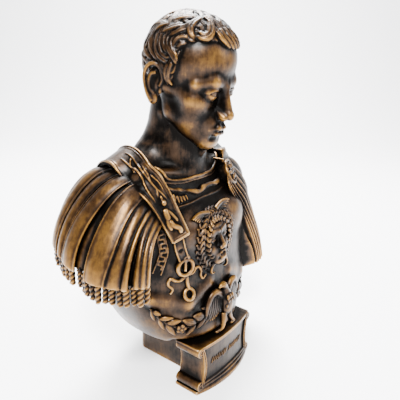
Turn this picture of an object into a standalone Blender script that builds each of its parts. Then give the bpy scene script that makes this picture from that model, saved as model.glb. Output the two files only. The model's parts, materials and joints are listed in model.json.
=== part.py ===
# A cold-cast portrait bust in Roman parade armour, standing on a small block
# plinth with a scroll-ended name plaque in front.
#
# The bust faces -Y, its left arm is at +X, and the origin is on the underside of
# the plinth, under the middle of the chest. All sizes below are in millimetres.
# The bust is sculpted at its natural size in closed shells that overlap, and a
# voxel Remesh fuses them into the one solid that a caster would pour.

import math

import bmesh
import bpy
import numpy as np
from mathutils.bvhtree import BVHTree

MM = 0.001

# Plinth block, the post that carries the bust
BLOCK_WIDTH = 40.0
BLOCK_BACK = 44.0
BLOCK_CORNER = 5.0

# Plaque in front of the block
PLAQUE_WIDTH = 78.0
PLAQUE_WAIST = 64.0
PLAQUE_HEIGHT = 44.0
PLAQUE_RISE = 4.0
PLAQUE_FRONT = -37.5
PLAQUE_BACK = -16.0
PLAQUE_BULGE = 4.5
ROLL_RADIUS = 4.2
FRAME_WIDTH = 3.0
FRAME_RAISE = 1.5
LEDGE_HEIGHT = 8.0
LEDGE_REACH = 3.5
SLAB_HEIGHT = 3.2
STROKE_RAISE = 0.8
STROKE_WIDTH = 1.3
STROKE_COUNT = 13
STROKE_PITCH = 3.4

# The block ends lower than the plaque, by its rise
BLOCK_HEIGHT = PLAQUE_HEIGHT - PLAQUE_RISE

# Bust
SEAT_GAP = 0.3
BUST_HEIGHT = 260.0
HEAD_HEIGHT = 94.0
HEAD_BOW = 14.0
HEAD_TURN = 5.0
ARMOUR_THICKNESS = 1.8
STRIP_THICKNESS = 2.4
CORD_COUNT = 25
CORD_LENGTH = 17.0
CORD_RADIUS = 2.4
STRAP_THICKNESS = 2.4
RING_RADIUS = 6.6
BROOCH_RADIUS = 11.0
MASK_SCALE = 0.47
FOLD_DEPTH = 3.4

# How far the cape and the cloak swing out at the top, and how far they drop at the hem
CAPE_SPRING = (44, 46, 50)
CAPE_FALL = (62, 64, 66)
CLOAK_SPRING = (60, 84, 84, 80, 60, 20, -16)
CLOAK_FALL = (100, 120, 120, 120, 110, 90, 80)

# Fineness of the fused solid
VOXELS = (1.25, 1.28, 1.22, 1.31, 1.19, 1.34, 1.37, 1.16)
BUST_TRIANGLES = 7600

NATURAL_HEIGHT = 260.0
BLOCK_TOP = 40.0
SCALE = BUST_HEIGHT / NATURAL_HEIGHT


# Small vector tools
def unit(v):
    return v / np.maximum(np.linalg.norm(v, axis=-1, keepdims=True), 1e-9)


def smooth(t):
    t = np.clip(t, 0.0, 1.0)
    return t * t * (3.0 - 2.0 * t)


def through(points, count):
    # A smooth run of count points through the given ones.
    p = np.asarray(points, float)
    if p.ndim == 1:
        p = p[:, None]
    at = np.linspace(0, len(p) - 1, count)
    i = np.minimum(at.astype(int), len(p) - 2)
    t = (at - i)[:, None]
    q = np.vstack([2 * p[0] - p[1], p, 2 * p[-1] - p[-2]])
    a, b, c, d = q[i], q[i + 1], q[i + 2], q[i + 3]
    out = 0.5 * (
        2 * b + (c - a) * t + (2 * a - 5 * b + 4 * c - d) * t**2 + (3 * b - a - 3 * c + d) * t**3
    )
    return out if out.shape[1] > 1 else out[:, 0]


def table(x, stations):
    # Smoothly interpolated columns of a station table, whose first column rises.
    s = np.asarray(stations, float)
    slope = np.gradient(s[:, 1:], s[:, 0], axis=0)
    x = np.clip(x, s[0, 0], s[-1, 0])
    i = np.clip(np.searchsorted(s[:, 0], x) - 1, 0, len(s) - 2)
    w = s[i + 1, 0] - s[i, 0]
    t = ((x - s[i, 0]) / w)[..., None]
    w = w[..., None]
    return (
        s[i, 1:] * (2 * t**3 - 3 * t**2 + 1)
        + s[i + 1, 1:] * (3 * t**2 - 2 * t**3)
        + w * (slope[i] * (t**3 - 2 * t**2 + t) + slope[i + 1] * (t**3 - t**2))
    )


# Distance fields: negative inside, and blended with a soft join
def ball(p, c, r):
    return np.linalg.norm(p - np.array(c), axis=-1) - r


def egg(p, c, r):
    q = p - np.array(c, float)
    r = np.array(r, float)
    k0 = np.linalg.norm(q / r, axis=-1)
    k1 = np.linalg.norm(q / r**2, axis=-1)
    return k0 * (k0 - 1.0) / np.maximum(k1, 1e-6)


def rod(p, a, b, ra, rb):
    a, b = np.array(a, float), np.array(b, float)
    h = np.clip((p - a) @ (b - a) / max((b - a) @ (b - a), 1e-9), 0, 1)
    return np.linalg.norm(p - a - h[..., None] * (b - a), axis=-1) - (ra + (rb - ra) * h)


def join(d, e, k):
    h = np.clip(0.5 + 0.5 * (e - d) / k, 0, 1)
    return e + (d - e) * h - k * h * (1 - h)


def carve(d, e, k):
    return -join(-d, e, k)


class Surface:
    # A closed form that every ray from its centre meets once.

    def __init__(self, field, centre, reach):
        self.field = field
        self.centre = np.array(centre, float)
        self.reach = reach

    def radius(self, rays, start=None, steps=34):
        r = np.full(rays.shape[:-1], float(self.reach)) if start is None else start
        for _ in range(steps):
            r = np.maximum(r - 0.85 * self.field(self.centre + rays * r[..., None]), 1.0)
        return r

    def normal(self, p, e=0.6):
        steps = np.eye(3) * e
        return unit(np.stack([self.field(p + s) - self.field(p - s) for s in steps], axis=-1))

    def land(self, points):
        # The nearest places along the rays through the points, with their outward normals.
        rays = unit(np.asarray(points, float) - self.centre)
        p = self.centre + rays * self.radius(rays)[..., None]
        return p, self.normal(p)

    def shell(self, rows, columns, tight=0.0, extra=None):
        u = np.linspace(-math.pi, math.pi, columns, endpoint=False)
        v = np.linspace(-math.pi / 2, math.pi / 2, rows + 2)[1:-1]
        azimuth = u - tight * np.sin(u)
        rise = v - 0.5 * tight * np.sin(2 * v)
        rise, azimuth = np.meshgrid(rise, azimuth, indexing="ij")
        rays = np.stack(
            [np.cos(rise) * np.sin(azimuth), -np.cos(rise) * np.cos(azimuth), np.sin(rise)], axis=-1
        )
        r = self.radius(rays)
        if extra is not None:
            r = r + extra(rays)
        return ringsShell(self.centre + rays * r[..., None])


# Closed shells of triangles
def ringsShell(rings):
    n, m, _ = rings.shape
    points = np.vstack([rings.reshape(-1, 3), rings[0].mean(0), rings[-1].mean(0)])
    i, j = np.meshgrid(np.arange(n - 1), np.arange(m), indexing="ij")
    a, b = (i * m + j).ravel(), (i * m + (j + 1) % m).ravel()
    k = np.arange(m)
    l = (k + 1) % m
    faces = np.vstack(
        [
            np.stack([a, b, b + m], 1),
            np.stack([a, b + m, a + m], 1),
            np.stack([np.full(m, n * m), l, k], 1),
            np.stack([np.full(m, n * m + 1), (n - 1) * m + k, (n - 1) * m + l], 1),
        ]
    )
    return points, faces


def band(path, halfWidth, halfHeight, normals, sides=8, squareness=2.0, ridges=0, groove=0.0):
    # A strip swept along a path that lies flat on normals. ridges cut strands along it.
    path = np.asarray(path, float)
    n = len(path)
    width = np.broadcast_to(np.asarray(halfWidth, float), (n,))[:, None, None]
    height = np.broadcast_to(np.asarray(halfHeight, float), (n,))[:, None, None]
    along = unit(np.gradient(path, axis=0))
    up = np.broadcast_to(np.asarray(normals, float), path.shape)
    up = unit(up - (up * along).sum(-1, keepdims=True) * along)
    side = np.cross(along, up)
    angle = np.linspace(0, 2 * math.pi, sides, endpoint=False)
    c, s = np.cos(angle), np.sin(angle)
    c = np.sign(c) * np.abs(c) ** (2 / squareness)
    s = np.sign(s) * np.abs(s) ** (2 / squareness)
    if ridges:
        s = s * (1 - groove * (0.5 + 0.5 * np.cos(math.pi * ridges * (c + 1))))
    c, s = c[None, :, None], s[None, :, None]
    return ringsShell(path[:, None] + side[:, None] * width * c + up[:, None] * height * s)


def blob(centre, radii, turn=None, sides=10):
    v = np.linspace(-math.pi / 2, math.pi / 2, sides // 2 + 3)[1:-1]
    u = np.linspace(0, 2 * math.pi, sides, endpoint=False)
    v, u = np.meshgrid(v, u, indexing="ij")
    p = np.stack([np.cos(v) * np.cos(u), np.cos(v) * np.sin(u), np.sin(v)], -1) * np.array(radii, float)
    if turn is not None:
        p = p @ np.asarray(turn, float).T
    return ringsShell(p + np.array(centre, float))


def basis(normal, up=(0.0, 0.0, 1.0)):
    # Columns: across, up along the surface, out of it.
    n = unit(np.asarray(normal, float))
    across = unit(np.cross(np.asarray(up, float), n))
    return np.stack([across, np.cross(n, across), n], axis=-1)


class Clay:
    # Closed shells that go into one piece.

    def __init__(self):
        self.points, self.faces, self.count = [], [], 0

    def add(self, shell):
        points, faces = shell
        q = points[faces]
        if np.einsum("ij,ij->i", q[:, 0], np.cross(q[:, 1], q[:, 2])).sum() < 0:
            faces = faces[:, ::-1]
        self.points.append(points)
        self.faces.append(faces + self.count)
        self.count += len(points)

    def addAll(self, shells, place=None):
        for points, faces in shells:
            self.add((points if place is None else place(points), faces))

    def mesh(self, name):
        points = np.vstack(self.points) * MM
        faces = np.vstack(self.faces)
        mesh = bpy.data.meshes.new(name)
        mesh.vertices.add(len(points))
        mesh.vertices.foreach_set("co", points.astype(np.float32).ravel())
        mesh.loops.add(faces.size)
        mesh.loops.foreach_set("vertex_index", faces.astype(np.int32).ravel())
        mesh.polygons.add(len(faces))
        mesh.polygons.foreach_set("loop_start", np.arange(0, faces.size, 3, dtype=np.int32))
        mesh.update(calc_edges=True)
        mesh.validate()
        return mesh


# Head, in hundredths of its own height, with its middle between the temples
def headField(p):
    h = np.stack([np.abs(p[..., 0]), p[..., 1], p[..., 2]], axis=-1)
    # skull, forehead, middle of the face and jaw
    d = egg(h, (0, 3, 13), (33, 35.5, 36.5))
    d = join(d, egg(h, (0, -10, 19), (28.5, 27, 27)), 9)
    d = join(d, egg(h, (0, -12, -9), (23.5, 22.5, 30)), 9)
    d = join(d, egg(h, (0, -10, -28), (18.5, 22, 19)), 8)
    d = join(d, egg(h, (12.5, -18.5, -22), (11.5, 12.0, 15)), 9)
    d = join(d, rod(h, (24, 3, -8), (19.5, -4, -25), 3.4, 3.8), 9)
    d = join(d, rod(h, (19.5, -4, -25), (7, -30.5, -42), 3.8, 5.0), 11)
    d = join(d, egg(h, (0, -33.2, -42.6), (9.0, 6.6, 7.0)), 7)
    # cheekbones and the muscle round the mouth
    d = join(d, egg(h, (16.5, -22.0, -9.5), (10, 8.5, 7.5)), 10)
    d = join(d, rod(h, (20, -19.0, -7), (28.5, 0, -5), 2.2, 2.0), 8)
    d = join(d, egg(h, (0, -32.6, -28.5), (13, 8.6, 11.5)), 8)
    # sockets, brows and the root of the nose
    d = carve(d, egg(h, (12.6, -40.5, -0.9), (9.6, 8.0, 5.0)), 5)
    d = join(d, rod(h, (3, -34.4, 5.4), (13, -32.4, 7.2), 3.0, 3.0), 7)
    d = join(d, rod(h, (13, -32.4, 7.2), (24, -23.8, 3.6), 3.0, 2.4), 7)
    d = eyeField(h, d)
    # nose
    d = join(d, rod(h, (0, -37.0, 3), (0, -45.6, -14.5), 2.3, 3.0), 5)
    d = join(d, ball(h, (0, -46.4, -16.8), 3.4), 3)
    d = join(d, egg(h, (4.2, -42.4, -18.6), (2.7, 4.4, 2.9)), 2.0)
    d = carve(d, egg(h, (2.7, -44.2, -22.2), (1.4, 2.2, 1.8)), 0.9)
    # mouth and chin
    d = join(d, rod(h, (0, -42.6, -28.3), (4, -41.8, -27.9), 1.6, 1.7), 1.6)
    d = join(d, rod(h, (4, -41.8, -27.9), (10.2, -36.8, -30.3), 1.6, 0.7), 2.0)
    d = join(d, rod(h, (0, -41.3, -33.4), (4.5, -40.5, -33.2), 2.1, 2.0), 2.0)
    d = join(d, rod(h, (4.5, -40.5, -33.2), (9.4, -36.8, -31.2), 1.9, 0.7), 2.0)
    d = carve(d, rod(h, (0, -44.0, -30.7), (10.4, -37.4, -30.8), 0.45, 0.45), 0.9)
    d = carve(d, rod(h, (0, -43.4, -22.8), (0, -43.8, -26.4), 0.7, 1.0), 1.4)
    d = carve(d, rod(h, (0, -42.6, -37.8), (7, -39.5, -37.2), 1.4, 1.0), 4)
    return d


def eyeField(h, d):
    # an eyeball between an upper and a lower lid
    centre = (12.8, -30.0, -1.0)
    across = h[..., 0] - centre[0]
    rise = h[..., 2] - centre[2] - 0.05 * across
    opening = np.maximum(1 - (across / 6.4) ** 2, 0)
    upper = np.maximum(ball(h, centre, 7.7), 2.9 * opening**0.8 - 0.4 - rise)
    lower = np.maximum(ball(h, centre, 7.3), rise + 2.1 * opening**0.8 + 0.2)
    d = join(d, upper, 1.2)
    d = join(d, lower, 1.4)
    d = join(d, ball(h, centre, 6.5), 0.5)
    return carve(d, ball(h, (12.6, -37.6, -0.6), 1.3), 0.5)


HAIRLINE = np.array(
    [
        (0, -36, 35),
        (8, -34, 36),
        (13, -30, 38),
        (17, -27, 39),
        (23, -22, 36),
        (27, -16, 34),
        (30, -12, 31),
        (32, -9, 26),
        (33, -8, 16),
        (34, -7, 4),
        (33, -5, -3),
        (34, 1, 2),
        (34, 6, 10),
        (32, 16, 2),
        (29, 22, -20),
        (17, 31, -33),
        (0, 34, -37),
    ],
    float,
)
WHORL = unit(np.array([0.0, 0.42, 0.91]))
HEAD_HEART = np.array([0.0, -5.0, -3.0])


class Hair:
    # combing directions: turn runs round the whorl from the brow, and reach 1 is the hairline
    def __init__(self):
        self.front = unit(np.array([0.0, -WHORL[2], WHORL[1]]))
        self.side = np.cross(self.front, WHORL)
        turn, polar = self.turnOf(unit(HAIRLINE - HEAD_HEART))
        order = np.argsort(np.abs(turn))
        self.turns, self.polars = np.abs(turn)[order], polar[order]
        self.turns[0], self.turns[-1] = 0.0, math.pi

    def turnOf(self, rays):
        polar = np.arccos(np.clip(rays @ WHORL, -1, 1))
        return np.arctan2(rays @ self.side, rays @ self.front), polar

    def edge(self, turn):
        turn = np.abs((turn + math.pi) % (2 * math.pi) - math.pi)
        return np.interp(turn, self.turns, self.polars)

    def ray(self, turn, reach):
        polar = reach * self.edge(turn)
        flat = np.cos(turn)[..., None] * self.front + np.sin(turn)[..., None] * self.side
        return np.cos(polar)[..., None] * WHORL + np.sin(polar)[..., None] * flat

    def cap(self, rays):
        turn, polar = self.turnOf(rays)
        return 1.5 * smooth((self.edge(turn) - polar) / 0.07)


# each row of locks: where it starts and ends, how many, half width, height, side hook
LOCK_ROWS = (
    (0.00, 0.32, 9, 3.6, 1.5, 0.6),
    (0.15, 0.47, 17, 3.5, 1.5, 0.45),
    (0.31, 0.64, 25, 3.3, 1.6, 0.2),
    (0.48, 0.80, 32, 3.1, 1.7, -0.25),
    (0.64, 0.92, 38, 2.9, 1.7, -0.25),
    (0.78, 1.00, 44, 2.6, 1.7, -0.22),
)


def hairLocks(hair, skin, rng, steps, sides, ridges):
    # rows of overlapping locks, combed forward at the sides
    plans = []
    for start, end, count, wide, high, hook in LOCK_ROWS:
        for k in range(count):
            turn = 2 * math.pi * (k + 0.5 * (count % 2)) / count + rng.uniform(-0.05, 0.05)
            t = np.linspace(0, 1, steps)
            stretch = end + rng.uniform(-0.03, 0.02)
            facing = np.sign(math.sin(turn))
            bend = hook * facing * (t**2 - 0.2) * (0.4 + abs(math.sin(turn)))
            bend = bend + rng.uniform(-0.07, 0.07) * np.sin(math.pi * 1.6 * t)
            plans.append(
                (
                    hair.ray(turn + bend, start + (stretch - start) * t), t,
                    wide * rng.uniform(0.85, 1.1), high, start,
                )
            )
    rays = np.stack([p[0] for p in plans])
    r = skin.radius(rays)
    shells = []
    for (ray, t, wide, high, start), base in zip(plans, r):
        lift = 0.9 + 1.5 * (1 - start) * np.sin(math.pi * np.minimum(t, 0.5)) - 0.3 * t
        path = skin.centre + ray * (base + lift)[:, None]
        shells.append(
            band(path, 0.85 * wide * lockTaper(t), high * lockTaper(t), ray, sides, 2.0, ridges, 0.42)
        )
    return shells


def lockTaper(t):
    return np.sqrt(np.maximum(1 - np.abs(2 * t - 0.75) ** 2.4 / 1.75, 0.03))


# locks that are set one by one: half width, height, and the run from root to tip on the bust's right
SIDE_LOCKS = (
    (2.2, 2.0, ((-21, 34, 13), (-26, 29, 11), (-31, 21, 9))),
    (2.3, 2.0, ((-21, 32, 24), (-24, 31, 20), (-28, 26, 16), (-31, 21, 14), (-34, 15, 12))),
    (2.3, 2.1, ((-27, 22, 29), (-30, 21, 23), (-33, 17, 19), (-34, 12, 16), (-35, 7, 13))),
    (
        2.3, 2.1,
        ((-29, 16, 31), (-32, 14, 25), (-34, 11, 20), (-35, 7, 17), (-35, 2, 15), (-35, -2, 14)),
    ),
    (2.2, 2.2, ((-30, 12, 32), (-32, 10, 27), (-34, 8, 23), (-35, 4, 19), (-35, -1, 17))),
    (2.2, 2.2, ((-31, 8, 32), (-33, 6, 27), (-34, 3, 23), (-35, -1, 21))),
    (2.2, 2.2, ((-31, 4, 32), (-33, 3, 27), (-34, -1, 23), (-35, -5, 20), (-34, -9, 15))),
    (2.1, 2.2, ((-31, -1, 33), (-33, 0, 29), (-34, -3, 24), (-34, -7, 21), (-34, -9, 17))),
    (2.0, 2.2, ((-28, -10, 35), (-30, -5, 33), (-32, -3, 30), (-33, -3, 26), (-34, -7, 22))),
    (3.6, 2.0, ((-24, -1, 42), (-27, 6, 38), (-29, 14, 33))),
    (3.4, 2.0, ((-24, 12, 40), (-25, 18, 36), (-26, 22, 31))),
    (3.4, 2.0, ((-23, 15, 39), (-18, 27, 36), (-17, 32, 31), (-24, 27, 28))),
    (1.9, 1.8, ((-35, -5, 15), (-35, -4, 9), (-34, -4, 3), (-33, -8, -2))),
    (1.9, 1.8, ((-35, -2, 13), (-35, -1, 8), (-34, -2, 3), (-34, -5, -1))),
)
BROW_LOCKS = (
    (1.9, 2.0, ((-17, -7, 47), (-23, -5, 42), (-27, -1, 39), (-29, 4, 35))),
    (1.9, 2.0, ((-22, -7, 43), (-26, -4, 39), (-29, 0, 36), (-30, 5, 34))),
    (1.9, 2.0, ((-24, -8, 41), (-27, -4, 38), (-30, 1, 34), (-31, 5, 32))),
    (3.6, 1.9, ((-14, -5, 49), (-18, 3, 46), (-22, 11, 43))),
    (
        2.7, 3.0,
        (
            (-10, -10, 49), (-11, -15, 47), (-14, -20, 44), (-17, -23, 41), (-21, -23, 38),
            (-24, -20, 37), (-25, -15, 37),
        ),
    ),
    (
        2.0, 2.6,
        (
            (-11, -14, 48), (-15, -18, 45), (-19, -21, 41), (-22, -20, 39), (-23, -17, 40),
            (-21, -17, 41),
        ),
    ),
    (1.8, 2.2, ((-13, -9, 48), (-20, -9, 44), (-24, -10, 40), (-26, -13, 37), (-26, -16, 36))),
    (1.8, 2.2, ((-15, -7, 47), (-22, -7, 43), (-25, -8, 40), (-27, -11, 37), (-27, -16, 35))),
    (2.1, 2.4, ((-12, -22, 45), (-12, -27, 41), (-10, -31, 38), (-5, -35, 34))),
    (2.1, 2.4, ((-8, -24, 45), (-8, -29, 41), (-5, -33, 38), (0, -36, 34))),
    (2.1, 2.4, ((-2, -24, 46), (-3, -29, 42), (0, -33, 38), (5, -36, 33.5))),
    (2.1, 2.4, ((4, -24, 46), (3, -30, 41), (6, -33, 38), (10, -34.5, 33.5))),
    (2.1, 2.4, ((9, -24, 45), (9, -29, 41), (11, -32, 37), (15, -32.5, 33.5))),
    (2.1, 2.4, ((14, -22, 44), (15, -27, 40), (17, -29.5, 36), (20.5, -29, 33))),
    (2.1, 2.4, ((18, -18, 44), (20, -23, 39), (22.5, -25, 35), (25, -24, 31))),
    (2.1, 2.4, ((21, -13, 43), (24, -18, 38), (27, -19, 33), (29, -17, 29))),
    (2.1, 2.3, ((23, -9, 42), (27, -12, 37), (30, -13, 32), (31.5, -13, 26))),
    (3.0, 1.8, ((-8, -9, 50), (-7, -14, 49), (-11, -20, 46))),
    (3.0, 1.8, ((6, -6, 51), (3, -14, 49), (-6, -21, 46.5))),
    (3.0, 1.8, ((7, -12, 51), (9, -16, 48), (-1, -24, 46))),
    (3.0, 1.8, ((12, -14, 49), (12, -19, 47), (6, -25, 45))),
    (3.0, 1.8, ((18, -8, 47), (18, -14, 45), (14, -21, 44))),
)


def setLocks(skin, runs, steps, sides, ridges):
    shells = []
    for wide, high, run in runs:
        ray = unit(through(run, steps) - skin.centre)
        t = np.linspace(0, 1, steps)
        path = skin.centre + ray * (skin.radius(ray) + 1.7 + 0.5 * np.sin(math.pi * t))[:, None]
        shells.append(
            band(path, wide * lockTaper(t), high * lockTaper(t), ray, sides, 2.0, ridges, 0.42)
        )
    return shells


HELIX_RUN = (
    (-2.5, -1), (-4, 5), (-1, 11.5), (4.5, 13), (9.5, 9), (10.5, 2), (8, -5), (4.5, -10),
    (1, -13),
)
ANTIHELIX_RUN = ((2, 7.5), (5.5, 5), (6.3, 0), (4.5, -5), (1, -7.5))


def earShells(steps, sides):
    # The ear on the +X side. Its back edge stands off the head.

    def place(run, off):
        run = np.asarray(run, float)
        u, v = run[:, 0], run[:, 1]
        return np.stack([30.8 + 0.30 * (u + 4) + off, 5.5 + u, -4.5 + 1.08 * v + 0.12 * u], -1)

    out = unit(np.array([0.96, -0.28, 0.0]))
    turn = basis(out)
    shells = [
        blob((32.4, 8.2, -4.4), (7.6, 12.8, 2.0), turn, 24),
        blob((30.5, 6.0, -4.0), (3.4, 9.0, 3.6), turn, 20),
    ]
    helix = place(through(HELIX_RUN, steps), 1.7)
    swell = through((1.0, 1.4, 1.7, 1.8, 1.6, 1.5, 1.6, 2.0, 2.2), steps)
    shells.append(band(helix, swell, swell, out, sides))
    shells.append(band(place(through(ANTIHELIX_RUN, steps), 1.2), 1.6, 1.4, out, sides))
    shells.append(blob(place([(-3.2, -3.4)], 0.2)[0], (1.8, 3.4, 1.7), turn, 14))
    shells.append(blob(place([(1.4, -11.0)], 0.8)[0], (4.2, 5.2, 2.0), turn, 14))
    return shells


def mirrorX(shells):
    return [(points * np.array([-1.0, 1.0, 1.0]), faces) for points, faces in shells]


def headShells(rows, columns, steps, sides, ridges, seed=4):
    skin = Surface(headField, HEAD_HEART, 75)
    hair = Hair()
    rng = np.random.default_rng(seed)
    shells = [skin.shell(rows, columns, 0.45, hair.cap)]
    shells += hairLocks(hair, skin, rng, steps, sides, ridges)
    shells += setLocks(skin, SIDE_LOCKS + BROW_LOCKS, steps, sides, ridges)
    shells += mirrorX(setLocks(skin, SIDE_LOCKS, steps, sides, ridges))
    ear = earShells(steps + 8, sides)
    return shells + ear + mirrorX(ear)


def headPlace(height, bow, turn):
    # From head shares to the bust: bowed, turned, and set with its crown at the top.
    s = height / 100.0
    b, t = math.radians(bow), math.radians(turn)
    bowed = np.array([[1, 0, 0], [0, math.cos(b), -math.sin(b)], [0, math.sin(b), math.cos(b)]])
    turned = np.array([[math.cos(t), -math.sin(t), 0], [math.sin(t), math.cos(t), 0], [0, 0, 1]])
    crown = s * (50.5 * math.cos(b) + 1.2) + 1.6
    centre = np.array([0.0, 6.5, NATURAL_HEIGHT + BLOCK_TOP - crown])
    return lambda p: (p * s) @ (turned @ bowed).T + centre


# Torso, in millimetres above the floor at the natural size
# Height, half width, front, back
TRUNK = (
    (40, 42, -33, 58),
    (46, 48, -34, 62),
    (58, 56, -33, 65),
    (72, 62, -32, 66),
    (88, 66, -30, 66),
    (104, 68, -28, 67),
    (120, 70, -27, 68),
    (136, 72, -25, 69),
    (150, 73, -21, 68),
    (162, 68, -12, 64),
    (172, 54, -3, 58),
    (182, 34, 4, 50),
    (190, 16, 12, 40),
)
TORSO_HEART = np.array([0.0, 20.0, 112.0])


def trunkField(p):
    z = p[..., 2]
    row = table(z, TRUNK)
    half, front, back = row[..., 0], row[..., 1], row[..., 2]
    middle, depth = (front + back) / 2, (back - front) / 2
    power = 2.4
    g = (
        np.abs(p[..., 0] / half) ** power + np.abs((p[..., 1] - middle) / depth) ** power
    ) ** (1 / power)
    side = (g - 1) * np.minimum(half, depth)
    return np.maximum(side, z - 190.0)


def bodyField(p):
    x = np.abs(p[..., 0])
    h = np.stack([x, p[..., 1], p[..., 2]], axis=-1)
    d = trunkField(p)
    d = join(d, egg(h, (36, 25, 158.5), (43, 32, 28.5)), 12)
    d = join(d, egg(h, (60, 20, 134), (20, 24, 30)), 10)
    d = join(d, egg(h, (25, -8, 136), (25, 18.5, 20)), 7)
    d = join(d, rod(p, (0, 21, 172), (0, 13, 235), 28, 23.0), 16)
    d = join(d, rod(h, (4, 28, 200), (44, 27, 178), 12, 13), 12)
    d = join(d, rod(h, (20, 12, 226), (5.5, 0, 179), 4.0, 3.6), 3)
    d = join(d, rod(h, (7, -2, 177), (50, 5, 186), 3.0, 3.5), 5)
    d = join(d, egg(p, (0, -11, 203), (4.5, 4.5, 7)), 5)
    d = carve(d, rod(h, (0, -36, 122), (0, -35, 60), 0.8, 1.2), 5)
    d = carve(d, rod(h, (3, -35, 116), (16, -34.5, 96), 0.9, 1.2), 5)
    d = join(d, rod(h, (14, -27.8, 92), (36, -24.8, 82), 0.9, 0.9), 8)
    d = join(d, rod(h, (36, -24.8, 82), (60, -9.2, 90), 0.9, 0.8), 8)
    return d


def necklineZ(p):
    # Where the armour ends: a scoop across the chest that rises over the shoulders.
    side = np.abs(p[..., 0])
    return 167.0 + 0.012 * np.maximum(side - 22.0, 0) ** 2 + 0.45 * np.maximum(p[..., 1] + 4.0, 0)


def armourField(p):
    d = bodyField(p) - ARMOUR_THICKNESS
    return -join(-d, necklineZ(p) - p[..., 2], 1.0)


def torsoField(p):
    d = join(bodyField(p), armourField(p), 0.8)
    floor = BLOCK_TOP + 5.5 * smooth((-8.0 - p[..., 1]) / 8.0)
    return -join(-d, p[..., 2] - floor, 5.0)


def domePatch(tops, hems, lifts, drops):
    # A shoulder drape from a top line to a hem: place(share round, share down) gives points.

    def place(around, down):
        around, down = np.broadcast_arrays(np.asarray(around, float), np.asarray(down, float))
        shape = around.shape
        a = through(tops, 81)
        b = through(hems, 81)
        at = np.linspace(0, 1, 81)
        flat = around.ravel()
        top = np.stack([np.interp(flat, at, a[:, k]) for k in range(3)], -1)
        hem = np.stack([np.interp(flat, at, b[:, k]) for k in range(3)], -1)
        reach = hem - top
        reach[:, 2] = 0.0
        lift = np.interp(flat, np.linspace(0, 1, len(lifts)), lifts)[:, None]
        drop = np.interp(flat, np.linspace(0, 1, len(drops)), drops)[:, None]
        start = unit(reach) * lift
        stop = np.array([0.0, 0.0, -1.0]) * drop + 0.15 * reach
        t = down.ravel()[:, None]
        p = (
            top * (2 * t**3 - 3 * t**2 + 1)
            + hem * (3 * t**2 - 2 * t**3)
            + start * (t**3 - 2 * t**2 + t)
            + stop * (t**3 - t**2)
        )
        return p.reshape(shape + (3,))

    return place


def patchNormal(place, around, down, away):
    e = 0.004
    du = place(around + e, down) - place(around - e, down)
    dv = place(around, down + e) - place(around, down - e)
    n = unit(np.cross(du, dv))
    return n * np.sign(((place(around, down) - away) * n).sum())


CAPE_TOPS = (
    (-40, 62, 165), (-52, 50, 181), (-57, 32, 186), (-58, 13, 183), (-57, 0, 174),
    (-54, -8, 162), (-52, -14, 150),
)
CAPE_HEMS = (
    (-58, 73, 137), (-81, 70, 132), (-96, 53, 126), (-101, 30, 120), (-101, 7, 116),
    (-94, -13, 115), (-79, -26, 116),
)
ARM_HEART = np.array([-52.0, 22.0, 128.0])


# dark valleys between strips: the share where each runs and its half width
CAPE_VALLEYS = ((0.562, 0.035), (0.884, 0.016))


def capeCore(place, columns, rows):
    # The filled form under the leather strips, closed inside the torso.
    around = np.linspace(0, 0.965, columns)
    down = np.linspace(0.0, 1.0, rows)
    down, around = np.meshgrid(down, around, indexing="ij")
    depth = np.full(around.shape, 1.2)
    for middle, half in CAPE_VALLEYS:
        depth += 2.6 * smooth(1 - np.abs(around - middle) / half) * smooth(down * 2.5 - 0.6)
    outer = place(around, down) - patchNormal(place, around, down, ARM_HEART) * depth[..., None]
    z = outer[:, :, 2].mean(1)
    inner = [
        np.stack([np.full(rows, x), np.full(rows, y), z], -1)[:, None]
        for x, y in ((-50, 2), (-40, 45))
    ]
    return ringsShell(np.concatenate([outer, *inner], axis=1))


# each leather strip: the shares of its two edges at four heights from top to hem, and its lift
STRIP_PLAN = (
    ((0.004, 0.004, 0.004, 0.004), (0.095, 0.095, 0.100, 0.100), 1.0),
    ((0.101, 0.101, 0.106, 0.106), (0.200, 0.205, 0.210, 0.212), 0.3),
    ((0.206, 0.211, 0.216, 0.218), (0.385, 0.338, 0.325, 0.352), 1.0),
    ((0.391, 0.345, 0.332, 0.358), (0.470, 0.425, 0.403, 0.418), 0.2),
    ((0.480, 0.440, 0.414, 0.426), (0.570, 0.543, 0.522, 0.535), 1.6),
    ((0.585, 0.583, 0.597, 0.613), (0.712, 0.735, 0.754, 0.739), 1.9),
    ((0.708, 0.731, 0.750, 0.735), (0.797, 0.825, 0.842, 0.838), 0.5),
    ((0.793, 0.821, 0.838, 0.834), (0.829, 0.857, 0.870, 0.870), 2.0),
    ((0.830, 0.858, 0.893, 0.900), (0.895, 0.917, 0.932, 0.938), 1.0),
    ((0.891, 0.913, 0.928, 0.934), (0.945, 0.960, 0.968, 0.971), 1.8),
    ((0.941, 0.956, 0.964, 0.967), (0.990, 0.996, 0.998, 0.998), 0.8),
)


def stripLift(wide, lift, across, down):
    # how far a strip stands off the drape: crowned in the middle, with a raised lip at each side
    crown = 1.7 * (1 - across**2) * smooth(down * 3)
    lip = np.minimum(12 * wide, 0.8) * smooth((np.abs(across) - 0.80) / 0.12)
    return lift * smooth(down * 2.5 + 0.2) + crown + lip


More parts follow.
